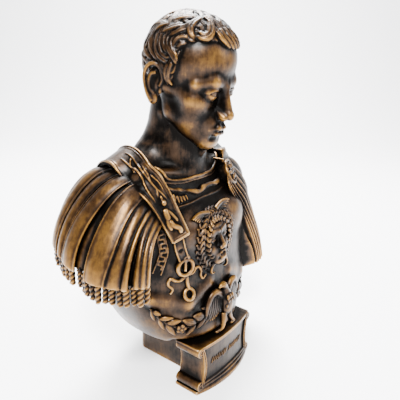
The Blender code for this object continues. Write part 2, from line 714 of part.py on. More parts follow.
def capeStrips(place, thickness, sides, steps):
    # Leather strips fanned over the shoulder.
    shells = []
    angle = np.linspace(0, 2 * math.pi, sides, endpoint=False)
    c = np.sign(np.cos(angle)) * np.abs(np.cos(angle)) ** 0.5
    s = np.sign(np.sin(angle)) * np.abs(np.sin(angle)) ** 0.5
    down, across = np.meshgrid(np.linspace(0.0, 1.0, steps), c, indexing="ij")
    for left, right, rise in STRIP_PLAN:
        low, high = through(left, steps)[:, None], through(right, steps)[:, None]
        around = (low + high) / 2 + (high - low) / 2 * across
        normal = patchNormal(place, around, down, ARM_HEART)
        lift = stripLift(high - low, rise, across, down) + thickness / 2 * s[None]
        shells.append(ringsShell(place(around, down) + normal * lift[..., None]))
    return shells


def cord(top, length, radius, sides, steps, phase):
    # A twisted cord that hangs straight down.
    t = np.linspace(0, 1, steps)[:, None]
    angle = np.linspace(0, 2 * math.pi, sides, endpoint=False)[None]
    twist = 0.68 + 0.38 * np.abs(np.cos(math.pi * 4.5 * t + angle + phase))
    r = radius * twist * (1 - 0.75 * smooth((t - 0.93) / 0.07))
    p = np.stack([r * np.cos(angle), r * np.sin(angle), np.broadcast_to(-length * t, r.shape)], -1)
    return ringsShell(p + np.asarray(top, float))


def cordTops(place, count):
    # Where the fringe hangs under the strips. Cords between two strips hang further in.
    points = []
    for k in range(count):
        share = (k + 0.5) / count
        normal = patchNormal(place, np.array(share), np.array(0.97), ARM_HEART)
        lift = -2.0
        for left, right, rise in STRIP_PLAN:
            if left[-1] - 0.004 < share < right[-1] + 0.004:
                lift = rise - 0.4
        points.append(place(share, 0.985) + normal * lift + np.array([0, 0, 2.0]))
    return np.array(points)


def capeCords(place, count, length, radius, sides, steps):
    tops = cordTops(place, count)
    return [
        cord(top, length + 2.0 - 1.5 * (k % 2), radius, sides, steps, 0.7 * k)
        for k, top in enumerate(tops)
    ]


CLOAK_TOPS = (
    (30, 60, 170), (36, 46, 192), (36, 22, 193), (36, 2, 184), (34, -7, 178), (29, -13, 172),
    (24, -18, 166),
)
CLOAK_HEMS = (
    (20, 72, 70), (62, 74, 72), (94, 56, 76), (102, 26, 78), (97, 0, 78), (82, -20, 78),
    (60, -27, 80),
)
CLOAK_HEART = np.array([40.0, 24.0, 120.0])


def cloakShell(place, columns, rows, depth):
    # The cloak over the left shoulder, with folds that gather at the brooch.
    around = np.linspace(0, 1, columns)
    down = np.linspace(0, 1, rows)
    down, around = np.meshgrid(down, around, indexing="ij")
    outer = place(around, down)
    normal = patchNormal(place, np.clip(around, 0.01, 0.99), np.clip(down, 0.02, 0.98), CLOAK_HEART)
    # the cloth rests on the shoulder where its own curve would cut in
    free = 1 - smooth((around - 0.75) / 0.2)
    for _ in range(2):
        short = 2.0 - bodyField(outer)
        outer = outer + normal * (0.5 * free * (short + np.sqrt(short**2 + 3.0)))[..., None]
    wave = np.cos(
        2 * math.pi * (7.0 * around + 4.5 * around**6 + 0.30 * np.sin(3.0 * down + 5 * around))
    )
    crest = np.sign(wave) * np.abs(wave) ** 0.75
    outer = outer + normal * (2.0 + depth * crest * (0.25 + 0.75 * smooth(down * 1.6)))[..., None]
    z = outer[:, :, 2].mean(1)
    inner = [
        np.stack([np.full(rows, x), np.full(rows, y), z], -1)[:, None]
        for x, y in ((30, -12), (20, 45))
    ]
    return ringsShell(np.concatenate([outer, *inner], axis=1))


STRAP = {
    "thickness": STRAP_THICKNESS, "rim": 1.0, "tabHalf": 4.3, "ringRadius": RING_RADIUS,
    "ringTube": 1.6,
}
STRAP_RUN = (
    (-34, 68, 100), (-36, 67, 130), (-42, 62, 165), (-49, 48, 190), (-53, 28, 196), (-54, 11, 188),
    (-53, -3.5, 177), (-50, -10, 166), (-48, -15, 157), (-46, -20, 148), (-44.3, -24, 140.2),
)
STRAP_HALF = (9.5, 10.0, 10.5, 11.0, 11.5, 11.5, 10.8, 10.0, 9.0, 8.0, 7.4)
TAB_RUN = ((-46.2, -23, 141), (-45.5, -24.5, 134), (-44.3, -25.2, 129), (-41.1, -25.5, 121))
STRAP_VEINS = (
    ((-57, 23, 195), (-58, 14, 192), (-59, 5, 189), (-59, -1, 183), (-58, -6, 175), (-56, -10, 168)),
    (
        (-50, 24, 196), (-51, 15, 193), (-56, 4, 190), (-56, -2, 185), (-53, -6, 179),
        (-49, -10, 173), (-46, -13, 168),
    ),
    ((-54, 4, 192), (-54, -1, 187), (-54, -4, 182), (-52, -8, 177), (-53, -11, 171)),
    ((-52, 17, 194), (-57, 13, 191), (-60, 7, 188)),
    ((-52, -2, 186), (-48, -4, 181), (-47, -10, 175)),
)
# the small draped figure: half width, height and run of each limb
STRAP_FIGURE = (
    (1.1, 1.2, ((-51, -11, 172), (-51, -12, 169), (-51, -13, 166))),
    (2.6, 2.0, ((-51, -15, 163), (-51, -16, 158), (-50.5, -18, 154))),
    (2.1, 1.7, ((-50, -19, 155), (-49, -21, 151), (-45, -24, 148), (-45, -26, 144.5))),
    (1.6, 1.4, ((-51.5, -17, 157), (-52, -19, 152), (-50, -21, 147))),
    (1.3, 1.2, ((-50, -16, 162), (-47, -19, 158), (-44.5, -22, 153))),
)


def onTorso(torso, points, count, lift):
    path, normal = torso.land(through(points, count))
    return path + normal * lift, normal


def easedRun(values, passes):
    values = values.copy()
    for _ in range(passes):
        values[1:-1] = (values[:-2] + 2 * values[1:-1] + values[2:]) / 4
    return values


def onStrap(points, count, low, high):
    # a run that keeps its own course, between two limits above the armour without its neckline step
    form = Surface(lambda p: bodyField(p) - ARMOUR_THICKNESS, TORSO_HEART, 190)
    p = through(points, count)
    passes = max(2, count // 2)
    for _ in range(3):
        normal = unit(easedRun(form.normal(p, 3.0), passes))
        d = form.field(p)
        p = p + normal * easedRun(np.clip(d, low, high) - d, 3)[:, None]
    return p, normal


def strapShells(steps, sides):
    thick, rim = STRAP["thickness"], STRAP["rim"]
    half = through(STRAP_HALF, steps)
    path, normal = onStrap(STRAP_RUN, steps, 0.3, 2.6)
    side = unit(np.cross(unit(np.gradient(path, axis=0)), normal))
    shells = [band(path, half, thick, normal, sides, 6.0)]
    for edge in (-1, 1):
        for share, high in ((0.93, 1.0), (0.76, 0.45)):
            run = path + side * (edge * share * half)[:, None] + normal * (thick - 0.15)
            shells.append(band(run, rim * high, rim * high, normal, 10))
    across = np.linspace(-1, 1, 6)[:, None]
    for back, high in ((0, 1.0), (-3, 0.5)):
        end = path[back - 1] + side[-1] * across * (half[-1] - 0.6) + normal[-1] * (thick - 0.15)
        shells.append(band(end, rim * high, rim * high, normal[-1], 10))

    def laid(run, count, lift):
        # the run's nearest course on top of the strap
        p = through(run, count)
        near = np.linalg.norm(p[:, None] - path[None], axis=2).argmin(1)
        off = ((p - path[near]) * side[near]).sum(1)
        off = np.clip(off, -0.62 * half[near], 0.62 * half[near])
        ahead = p - path[near]
        ahead -= (
            ahead * normal[near]
        ).sum(1)[:, None] * normal[near] + (ahead * side[near]).sum(1)[:, None] * side[near]
        return path[near] + ahead + side[near] * off[:, None] + normal[near] * (
            thick + lift
        ), normal[near]

    for k, run in enumerate(STRAP_VEINS):
        at, out = laid(run, 30, 0.0)
        taper = np.sqrt(np.maximum(1 - np.linspace(-1, 1, 30) ** 6, 0.12))
        shells.append(band(at, (0.85 - 0.05 * k) * taper, 0.9 * taper, out, 10))
    for wide, high, run in STRAP_FIGURE:
        at, out = laid(run, 16, 0.3)
        taper = np.sqrt(np.maximum(1 - np.linspace(-1, 1, 16) ** 6, 0.12))
        shells.append(band(at, wide * taper, high * taper, out, 14))
    at, out = laid(((-50.5, -13, 166.5), (-50.4, -13.1, 166)), 4, 0.8)
    shells.append(blob(at[0], (2.1, 2.5, 1.9), basis(out[0]), 20))
    path, normal = onStrap(TAB_RUN, 16, 0.3, 0.3)
    side = unit(np.cross(unit(np.gradient(path, axis=0)), normal))
    shells.append(band(path, STRAP["tabHalf"], thick * 0.75, normal, sides, 6.0))
    for edge in (-1, 1):
        run = path + side * edge * (STRAP["tabHalf"] - 0.7) + normal * (thick * 0.75 - 0.1)
        shells.append(band(run, 0.8, 0.9, normal, 10))
    return shells


def ringShell(torso, centre, radius, thick, count, sides, notch=0.0):
    # a ring that lies on the torso, pinched in the middle where the strap ends pull
    at, normal = torso.land(np.array([centre]))
    frame = basis(normal[0])
    angle = np.linspace(0, 2 * math.pi, count, endpoint=False)
    reach = radius * (1 - notch * np.cos(2 * angle))
    path = at[0] + normal[0] * thick * 1.1
    path = path + reach[:, None] * (
        np.cos(angle)[:, None] * frame[:, 0] + np.sin(angle)[:, None] * frame[:, 1]
    )
    tube = np.linspace(0, 2 * math.pi, sides, endpoint=False)
    out = unit(path - path.mean(0))
    ring = path[:, None] + thick * (
        np.cos(tube)[None, :, None] * out[:, None] + np.sin(tube)[None, :, None] * normal[0]
    )
    points = ring.reshape(-1, 3)
    i, j = np.meshgrid(np.arange(count), np.arange(sides), indexing="ij")
    a, b = i * sides + j, i * sides + (j + 1) % sides
    c, d = ((i + 1) % count) * sides + j, ((i + 1) % count) * sides + (j + 1) % sides
    faces = np.vstack(
        [np.stack([a.ravel(), b.ravel(), d.ravel()], 1), np.stack([a.ravel(), d.ravel(), c.ravel()], 1)]
    )
    return points, faces


RIBBON_RUNS = (
    (
        (-40, -25.5, 106), (-44.2, -24.3, 103.7), (-48, -22.5, 104.3), (-51.1, -20.7, 106.7),
        (-53, -19.6, 104.6), (-52.9, -19.8, 101.2), (-51, -21.1, 98.7), (-50.4, -21.6, 96.5),
        (-52.2, -20.9, 93.6),
    ),
    (
        (-37, -27, 107), (-32.7, -27.9, 107.6), (-30.2, -28.4, 110.4), (-27.1, -28.9, 110.6),
        (-24.5, -29.5, 106.6), (-25.0, -29.8, 102.4), (-22.8, -30.4, 99.0),
        (-19.0, -30.7, 101.2),
    ),
)


def buckleShells(torso, count, sides):
    shells = [
        ringShell(torso, (-40.3, -25.4, 114.6), STRAP["ringRadius"], STRAP["ringTube"], count, sides),
        ringShell(torso, (-38, -28, 90.1), 4.3, 1.45, count, sides, 0.05),
        ringShell(torso, (-39.8, -26, 122.2), 2.2, 1.3, count, sides),
    ]
    for run, wide, high, lift in (
        (((-39.1, -26.1, 108.5), (-38.6, -26.7, 100.0), (-37.4, -27.6, 94.6)), 1.5, 1.4, 1.0),
        (((-40.2, -25, 122), (-40.4, -25.4, 116), (-40.6, -25.6, 111.5)), 1.3, 1.4, 1.6),
    ):
        path, normal = onTorso(torso, run, 12, lift)
        shells.append(band(path, wide, high, normal, sides))
    for run in RIBBON_RUNS:
        path, normal = onTorso(torso, run, 48, 0.5)
        t = np.linspace(0, 1, 48)
        shells.append(band(path, 1.5 - 0.6 * t, 1.5 - 0.4 * t, normal, sides))
    return shells


def reliefChart(torso, centre, lift):
    # maps (across, up, out) near a place on the chest to points on the torso
    at, normal = torso.land(np.array([centre]))
    frame = basis(normal[0])

    def place(points):
        p = np.asarray(points, float)
        flat = at[0] + p[..., :1] * frame[:, 0] + p[..., 1:2] * frame[:, 1]
        ground, _ = torso.land(flat)
        return ground + (p[..., 2:] + lift) * frame[:, 2]

    return place, frame


GORGON = {"centre": (-5.5, -28.0, 129.0), "scale": MASK_SCALE, "lean": 4.0, "flat": 0.82}


def gorgonField(p):
    # the plain face with an open mouth, a knit brow and full cheeks
    h = np.stack([np.abs(p[..., 0]), p[..., 1], p[..., 2]], axis=-1)
    d = headField(p)
    d = join(d, egg(h, (13, -31, -20), (7, 6, 8)), 6)
    d = join(d, rod(h, (2.5, -38, 9), (13, -35, 12), 2.6, 2.2), 3)
    d = join(d, egg(h, (0, -42.5, -37.5), (6.5, 3.2, 2.2)), 2)
    d = carve(d, egg(h, (0, -44.5, -31.5), (6.8, 8.0, 3.8)), 1.2)
    return -join(-d, 20.0 - h[..., 2], 8)


def maskShells(torso, rows, columns, curls, steps, sides):
    # a gorgon's head in high relief: face, two small wings and a ruff of wavy curls
    place, frame = reliefChart(torso, np.array(GORGON["centre"]), 0.0)
    lean = math.radians(GORGON["lean"])
    s = GORGON["scale"]
    spin = np.array([[math.cos(lean), math.sin(lean)], [-math.sin(lean), math.cos(lean)]])

    def leaning(flat):
        flat = np.array(flat, float)
        flat[..., :2] = flat[..., :2] @ spin
        return place(flat)

    at = place(np.array([0.0, 0.0, 0.0]))
    face = Surface(gorgonField, HEAD_HEART, 75)
    points, faces = face.shell(rows, columns, 0.5)
    local = (points - np.array([0.0, -22.0, -6.0])) * s
    flat = np.stack([local[:, 0] * 1.32, local[:, 2] * 1.05], -1) @ spin
    out = -local[:, 1] * GORGON["flat"]
    shells = [
        (at + flat[:, :1] * frame[:, 0] + flat[:, 1:] * frame[:, 1] + out[:, None] * frame[:, 2], faces)
    ]
    rng = np.random.default_rng(8)
    for ring, (inner, outer, count, high) in enumerate(
        ((0.78, 1.20, curls - 6, 4.4), (1.06, 1.50, curls, 2.2))
    ):
        for k in range(count):
            a = 2 * math.pi * (k + 0.5 * ring) / count
            if math.sin(a) < -0.86 and ring > 0:
                continue
            t = np.linspace(0, 1, steps)
            reach = inner + (outer - inner) * t + rng.uniform(-0.03, 0.03)
            wave = 0.09 * np.sin(2 * math.pi * (1.5 * t + 0.4 * ring + rng.uniform(-0.04, 0.04)))
            sway = a + wave - 0.10 * math.cos(a) * t
            run = np.stack(
                [
                    17.0 * reach * np.cos(sway), 19.5 * reach * np.sin(sway) + 0.5,
                    high * (1 - 0.75 * t) + 0.6 * np.sin(math.pi * 2 * t),
                ],
                -1,
            )
            taper = np.sqrt(np.maximum(1 - np.abs(2 * t - 0.9) ** 4 / 2.2, 0.05))
            shells.append(
                band(leaning(run), 1.35 * taper, 1.5 * taper, frame[:, 2], sides, 2.0, 2, 0.35)
            )
    for side in (-1, 1):
        for feather in range(4):
            t = np.linspace(0, 1, steps)
            run = np.stack(
                [
                    side * (6 + (22 - 2.6 * feather) * t),
                    25.5 + 4.6 * np.sin(2.3 * t) - 1.5 * t - 2.3 * feather * (0.4 + 0.6 * t),
                    3.2 - 0.7 * feather + 0 * t,
                ],
                -1,
            )
            shells.append(band(leaning(run), 1.7 * np.sqrt(1.02 - t**3), 1.4, frame[:, 2], sides))
        t = np.linspace(0, 1, steps)
        knot = np.stack(
            [side * (2 + 9 * np.sin(2.6 * t)), -20.5 - 7 * t + 2.0 * np.sin(6 * t), 3.4 - 1.5 * t],
            -1,
        )
        shells.append(band(leaning(knot), 1.5 * np.sqrt(1.02 - t), 1.4, frame[:, 2], sides))
    return shells


def leaf(start, end, width, height, normal, sides, steps=12):
    # a pointed leaf with a rib down its middle
    t = np.linspace(0, 1, steps)
    path = np.asarray(start) + t[:, None] * (
        np.asarray(end) - np.asarray(start)
    ) + np.outer(np.sin(math.pi * t), normal) * 0.8
    shape = width * np.sin(math.pi * np.clip(0.04 + 0.93 * t**0.85, 0, 1)) ** 0.8
    blade = band(path, shape, height * (0.35 + 0.65 * shape / width), normal, sides)
    rib = band(path + normal * height * 0.8 * (shape / width)[:, None], 0.45, 0.6, normal, 8)
    return [blade, rib]


# each leaf of the festoon: half width, base and tip, on the bust's right of the eagle
FESTOON_LEAVES = (
    (1.8, (-62.0, -10.3, 80.9), (-59.6, -11.5, 69.7)),
    (2.4, (-61.5, -11.0, 80.0), (-56.4, -15.4, 76.4)),
    (1.9, (-57.6, -14.0, 72.1), (-53.1, -15.7, 60.0)),
    (2.4, (-57.6, -14.0, 72.1), (-49.0, -21.9, 72.4)),
    (2.6, (-53.1, -17.8, 66.8), (-45.2, -21.0, 53.6)),
    (3.2, (-52.9, -18.2, 67.3), (-43.6, -25.4, 68.3)),
    (3.4, (-32.0, -31.0, 61.8), (-43.0, -26.1, 68.0)),
    (2.4, (-32.5, -31.0, 61.0), (-39.0, -27.0, 51.8)),
    (4.0, (-24.3, -33.6, 65.1), (-34.8, -30.4, 68.7)),
    (2.7, (-23.2, -33.9, 64.7), (-31.2, -31.6, 55.6)),
    (2.5, (-15.0, -34.8, 71.4), (-26.6, -32.9, 72.6)),
    (2.9, (-13.9, -35.1, 69.1), (-24.4, -33.8, 56.8)),
)
FESTOON_STEM = (
    (-62.5, -9.8, 81.8), (
        -60.3, -11.8, 77.1,
    ), (-57.6, -14.0, 72.1), (-54.9, -16.3, 68.5), (-51.0, -19.4, 65.0),
    (
        -43.2, -25.0, 60.1,
    ), (-37.0, -28.5, 60.0), (-32.7, -31.0, 61.8), (-28.2, -32.6, 62.9), (-23.2, -33.8, 65.6),
    (-17.5, -34.6, 69.7), (-12.4, -34.9, 73.0),
)
EAGLE_MIDDLE = 1.0


def festoonShells(torso, side, sides):
    # half of a laurel festoon, from the flank to the eagle, with a rosette at its lowest

    def turned(points):
        p = np.array(points, float)
        if side > 0:
            p[..., 0] = 2 * EAGLE_MIDDLE - p[..., 0]
        return p

    path, normal = onTorso(torso, turned(FESTOON_STEM), 60, 0.6)
    shells = [band(path, 0.9, 0.9, normal, 8)]
    for wide, base, tip in FESTOON_LEAVES:
        ends, normal = torso.land(turned((base, tip)))
        lift = normal[0] * 0.8
        shells += leaf(ends[0] + lift, ends[1] + lift * 0.9, wide, 1.7, normal[0], sides)
    middle, normal = torso.land(turned((FESTOON_STEM[5],)))
    middle, normal = middle[0], normal[0]
    frame = basis(normal)
    for a in np.arange(5) * 2 * math.pi / 5:
        petal = middle + normal * 1.4 + 2.5 * (math.cos(a) * frame[:, 0] + math.sin(a) * frame[:, 1])
        shells.append(blob(petal, (2.0, 2.0, 1.7), frame, 18))
    shells.append(blob(middle + normal * 2.4, (1.5, 1.5, 1.5), frame, 16))
    return shells


def eagleShells(torso, steps, sides):
    # an eagle with arched wings that stands over the plaque and looks to its right
    place, frame = reliefChart(torso, np.array([EAGLE_MIDDLE, -34.0, 68.0]), 0.0)
    out = frame[:, 2]
    shells = []

    def limb(points, widths, heights, ridges=0):
        path = place(through(points, steps))
        shells.append(
            band(path, through(widths, steps), through(heights, steps), out, sides, 2.0, ridges, 0.3)
        )

    limb(
        ((1, -10, 3), (1, -4, 4.6), (0.5, 4, 5.4), (-0.5, 11, 5.0), (-2, 16, 5.0)),
        (2.6, 5.6, 6.2, 4.6, 3.0), (2.2, 4.2, 4.8, 4.0, 3.0),
    )
    limb(
        ((-0.5, 12, 5), (-2, 17, 5.4), (-4.5, 20, 6), (-7.5, 20.5, 6), (-10, 19.5, 5.4)),
        (3.6, 3.0, 3.0, 2.0, 0.6), (3.2, 2.8, 2.8, 1.8, 0.7),
    )
    for row in range(5):
        for k in (-1, 0, 1):
            shells.append(
                blob(
                    place((0.4 + 2.9 * k + 1.4 * (row % 2), 9 - 3.8 * row, 9.4 - 0.35 * row * row)),
                    (1.6, 2.4, 1.5), frame, 12,
                )
            )
    for side in (-1, 1):
        limb(
            (
                (side * 4, 9, 3.5), (side * 10, 15.5, 3.6), (side * 16.5, 15.5, 3.2),
                (side * 21, 9, 2.8), (side * 22.5, 1, 2.2),
            ),
            (2.6, 3.0, 2.8, 2.4, 1.6), (2.4, 2.6, 2.4, 2.0, 1.4),
        )
        for feather in range(7):
            share = feather / 6
            root = (side * (5 + 15 * share), 11 + 2.5 * math.sin(3 * share), 2.2)
            middle = (side * (6.5 + 15.5 * share), 3, 2.2)
            tip = (side * (8 + 15.0 * share), -5.0 + 1.5 * share - 2.5 * math.sin(3.1 * share), 1.4)
            limb((root, middle, tip), (1.5, 1.7, 0.7), (1.6, 1.5, 0.8))
        foot = (-9.0, -24.5) if side < 0 else (11.5, -25.0)
        limb(
            (
                (side * 3.4 + 0.6, -6, 4), (side * 4.6 + 0.5, -12, 4.4),
                (foot[0] * 0.75, -18, 4.2), (foot[0], foot[1] + 3, 4),
            ),
            (3.0, 2.4, 1.5, 1.4), (2.8, 2.2, 1.5, 1.4),
        )
        for claw in (-1, 0, 1):
            limb(
                (
                    (foot[0], foot[1] + 3, 4), (foot[0] + 1.9 * claw, foot[1], 5.2),
                    (foot[0] + 2.2 * claw, foot[1] - 2.2, 4.2),
                ),
                (1.5, 1.4, 0.7), (1.6, 1.6, 0.9),
            )
    for feather in (-1, 0, 1):
        limb(
            ((1, -9, 2.4), (1 + 1.6 * feather, -14, 2), (1 + 2.6 * feather, -18.5, 1.5)),
            (1.6, 1.7, 1.0), (1.6, 1.4, 1.0),
        )
    return shells


BROOCH = {"centre": (37.0, -11.5, 172.0), "facing": (0.34, -0.84, 0.42), "radius": BROOCH_RADIUS}


def broochShells(sides):
    # the round brooch that pins the cloak: a rimmed disc with a rosette
    at = np.array(BROOCH["centre"])
    normal = unit(np.array(BROOCH["facing"]))
    radius = BROOCH["radius"]
    frame = basis(normal)
    angle = np.linspace(0, 2 * math.pi, 72, endpoint=False)
    circle = np.cos(angle)[:, None] * frame[:, 0] + np.sin(angle)[:, None] * frame[:, 1]
    profile = (
        (0.96, -6.0), (1.0, -0.5), (1.03, 1.4), (1.01, 2.4), (0.94, 2.9), (0.86, 2.5),
        (0.82, 1.3), (0.45, 1.6), (0.05, 2.0),
    )
    rings = np.stack([at + circle * radius * r + normal * h for r, h in profile])
    shells = [ringsShell(rings)]
    for a in np.arange(6) * math.pi / 3:
        heading = math.cos(a) * frame[:, 0] + math.sin(a) * frame[:, 1]
        shells += leaf(
            at + heading * 1.6 + normal * 2.0, at + heading * radius * 0.76 + normal * 1.8, 1.9,
            1.2, normal, sides,
        )
    for a in (np.arange(6) + 0.5) * math.pi / 3:
        heading = math.cos(a) * frame[:, 0] + math.sin(a) * frame[:, 1]
        shells.append(blob(at + heading * radius * 0.66 + normal * 1.8, (1.0, 1.0, 1.0), frame, 12))
    shells.append(blob(at + normal * 2.3, (2.0, 2.0, 1.7), frame, 20))
    return shells


NECK_RUNS = (
    # rolled edge, the fine line under it, and the two rings of the tunic: half width and lift
    (
        2.0, 0.6,
        (
            (-44, -4, 178), (-36, -7, 174), (-27.8, -9, 171.8), (-21.2, -10.6, 169.4),
            (-15.3, -12.9, 167.8), (-8.4, -14.5, 167.2), (-1.2, -13.1, 168.5),
            (7.6, -12.7, 169.4), (16.0, -13.8, 170.0), (26, -12, 172), (36, -8, 177),
        ),
    ),
    (
        0.7, 0.2,
        (
            (-44, -14.5, 161), (-37.0, -15.8, 161.2), (-24.0, -16.9, 161.3),
            (-11.0, -16.7, 162.0), (2.3, -16.8, 162.3), (16.8, -16.5, 163.2), (32, -14, 165),
        ),
    ),
    (
        1.3, 0.3,
        (
            (-42, 10, 191), (-39, 2, 186), (-33, -3.5, 182), (-22, -7, 180), (-10, -9, 179),
            (4, -9.5, 179), (18, -7.5, 180), (30, -2, 183), (38, 6, 188),
        ),
    ),
    (
        1.0, 0.2,
        (
            (-40, -2, 180.3), (-28.7, -5.7, 177.6), (-18, -8, 176.4), (0, -9.5, 175.8),
            (16, -8.5, 176.6), (28, -5, 178.5),
        ),
    ),
)
TEETH_RUNS = (
    ((-37.7, -10.4, 171.0), (-38.2, -13.5, 165.2)),
    ((-34.8, -11.9, 169.6), (-35.0, -14.7, 163.4)),
    ((-31.8, -12.6, 168.4), (-31.6, -14.8, 163.0)),
    ((-28.7, -12.9, 168.0), (-28.2, -15.0, 163.2)),
    ((-25.7, -13.1, 167.8), (-25.0, -15.2, 163.7)),
)
MEANDER = {"width": 6.4, "unit": 7.0, "line": 0.75}
MEANDER_RUN = (
    (-55.5, -12.5, 160), (-56.6, -14.6, 149.5), (-56.4, -16.3, 139.5), (-55.6, -17.5, 130.8),
    (-57.4, -16.3, 122.2), (-60.2, -14.0, 111.5),
)
MEANDER_UNIT = ((0.0, -0.5), (0.0, 0.5), (0.5, 0.5), (0.5, -0.5), (1.0, -0.5))


def trimShells(torso, sides):
    # the edges and bands that are cast on the armour
    shells = []
    for k, (wide, lift, run) in enumerate(NECK_RUNS):
        path, normal = onTorso(torso, run, 90, lift)
        t = np.linspace(0, 1, 90)
        ripple = 1.0 + (0.22 * np.sin(40 * t) * np.sin(9 * t) if k == 0 else 0.0)
        shells.append(band(path, wide * ripple, wide * 0.85 * ripple, normal, sides))
    for top, tip in TEETH_RUNS:
        path, normal = onTorso(torso, (top, tip), 8, 0.6)
        shells.append(band(path, np.array([1.2, 1.35, 1.4, 1.35, 1.2, 1.0, 0.7, 0.3]), 1.3, normal, 12))
    path, normal = onTorso(torso, MEANDER_RUN, 80, 0.0)
    along = unit(np.gradient(path, axis=0))
    side = np.cross(along, normal)
    length = np.concatenate([[0], np.cumsum(np.linalg.norm(np.diff(path, axis=0), axis=1))])

    def chart(u, v, lift):
        at = np.stack([np.interp(u, length, path[:, k]) for k in range(3)], -1)
        across = np.stack([np.interp(u, length, side[:, k]) for k in range(3)], -1)
        out = np.stack([np.interp(u, length, normal[:, k]) for k in range(3)], -1)
        return at + across * v[:, None] + out * lift, out

    half = MEANDER["width"] / 2
    for edge in (-1, 1):
        u = np.linspace(0.5, length[-1] - 0.5, 60)
        run, out = chart(u, np.full(60, edge * half), 0.35)
        shells.append(band(run, 0.6, 0.7, out, 8))
    for k in range(int(length[-1] / MEANDER["unit"])):
        corners = np.array(MEANDER_UNIT)
        fine = np.concatenate(
            [np.linspace(a, b, 5)[:-1] for a, b in zip(corners[:-1], corners[1:])] + [corners[-1:]]
        )
        run, out = chart(1.0 + (k + fine[:, 0]) * MEANDER["unit"], fine[:, 1] * half, 0.3)
        shells.append(band(run, MEANDER["line"], 0.9, out, 8))
    return shells


def bustClay():
    # Everything above the plinth, as overlapping closed shells
    clay = Clay()
    clay.addAll(headShells(80, 100, 8, 8, 2), headPlace(HEAD_HEIGHT, HEAD_BOW, HEAD_TURN))
    torso = Surface(torsoField, TORSO_HEART, 190)
    clay.add(torso.shell(110, 130))
    clay.addAll(trimShells(torso, 8))
    cape = domePatch(CAPE_TOPS, CAPE_HEMS, CAPE_SPRING, CAPE_FALL)
    clay.add(capeCore(cape, 44, 24))
    clay.addAll(capeStrips(cape, STRIP_THICKNESS, 16, 24))
    clay.addAll(capeCords(cape, CORD_COUNT, CORD_LENGTH, CORD_RADIUS, 10, 26))
    cloak = domePatch(CLOAK_TOPS, CLOAK_HEMS, CLOAK_SPRING, CLOAK_FALL)
    clay.add(cloakShell(cloak, 150, 30, FOLD_DEPTH))
    clay.addAll(broochShells(8))
    clay.addAll(strapShells(50, 16))
    clay.addAll(buckleShells(torso, 28, 8))
    clay.addAll(maskShells(torso, 60, 72, 26, 10, 8))
    clay.addAll(festoonShells(torso, -1, 8))
    clay.addAll(festoonShells(torso, 1, 8))
    clay.addAll(eagleShells(torso, 10, 8))
    return clay


def plaqueHalf(z):
    # Half width of the plaque: a slab at the foot, then waisted between the rolls.
    if z <= SLAB_HEIGHT:
        return PLAQUE_WIDTH / 2
    low = SLAB_HEIGHT + ROLL_RADIUS
    rise = (z - low) / (PLAQUE_HEIGHT - ROLL_RADIUS - low)
    inset = (PLAQUE_WIDTH - PLAQUE_WAIST) / 2
    return PLAQUE_WIDTH / 2 - ROLL_RADIUS - (inset - ROLL_RADIUS) * math.sin(
        math.pi * min(max(rise, 0), 1)
    )


def plaqueFront(x):
    # The front of the plaque bows forward in plan.
    return PLAQUE_FRONT - PLAQUE_BULGE * (1 - (2 * x / PLAQUE_WIDTH) ** 2)


def meshOf(shells, name):
    clay = Clay()
    clay.addAll(shells)
    return clay.mesh(name)


def plaqueShell():
    # Level sections stacked up: a panel sunk between side frames, over a bevelled ledge.
    top, ledge = PLAQUE_HEIGHT, LEDGE_HEIGHT
    levels = [0.0, SLAB_HEIGHT, SLAB_HEIGHT + 0.6, ledge, ledge + 1.2, ledge + 2.0]
    levels += list(np.linspace(ledge + 6.0, top - 6.0, 5))
    levels += [top - 2.4, top - 1.6, top]
    rings = []
    for z in levels:
        half = plaqueHalf(z)
        inner = half - FRAME_WIDTH
        columns = [half, half, inner, inner - 0.8]
        columns += list(np.linspace(inner - 0.8, -inner + 0.8, 9)[1:-1])
        columns += [-inner + 0.8, -inner, -half, -half]
        ring = []
        for k, x in enumerate(columns):
            framed = k in (1, 2, len(columns) - 3, len(columns) - 2)
            edge = z >= top - 1.6 or z <= ledge + 1.2
            proud = FRAME_RAISE if framed or edge else 0.0
            if z < ledge:
                bow = 1 - (2 * x / PLAQUE_WIDTH) ** 2
                proud += LEDGE_REACH * bow * min(1.0, (ledge - z) / (ledge - SLAB_HEIGHT))
            ring.append((x, plaqueFront(x) - proud, z))
        ring[0] = (half, PLAQUE_BACK, z)
        ring[-1] = (-half, PLAQUE_BACK, z)
        rings.append(ring)
    return ringsShell(np.array(rings))


def rollShells():
    # The four rolls where the sheet of the plaque curls back.
    shells = []
    angle = np.linspace(0, 2 * math.pi, 14, endpoint=False)
    for side in (-1, 1):
        for z in (SLAB_HEIGHT + ROLL_RADIUS - 0.4, PLAQUE_HEIGHT - ROLL_RADIUS):
            x = side * (PLAQUE_WIDTH / 2 - ROLL_RADIUS)
            front = plaqueFront(x) - FRAME_RAISE
            ends = (
                (0.75, front - 0.9), (0.86, front), (1.0, front + 0.4),
                (1.0, PLAQUE_BACK - 0.4), (0.9, PLAQUE_BACK + 0.4),
            )
            rings = [
                np.stack(
                    [
                        x + ROLL_RADIUS * r * np.cos(angle), np.full(14, y),
                        z + ROLL_RADIUS * r * np.sin(angle),
                    ],
                    -1,
                )
                for r, y in ends
            ]
            shells.append(ringsShell(np.array(rings)))
    return shells


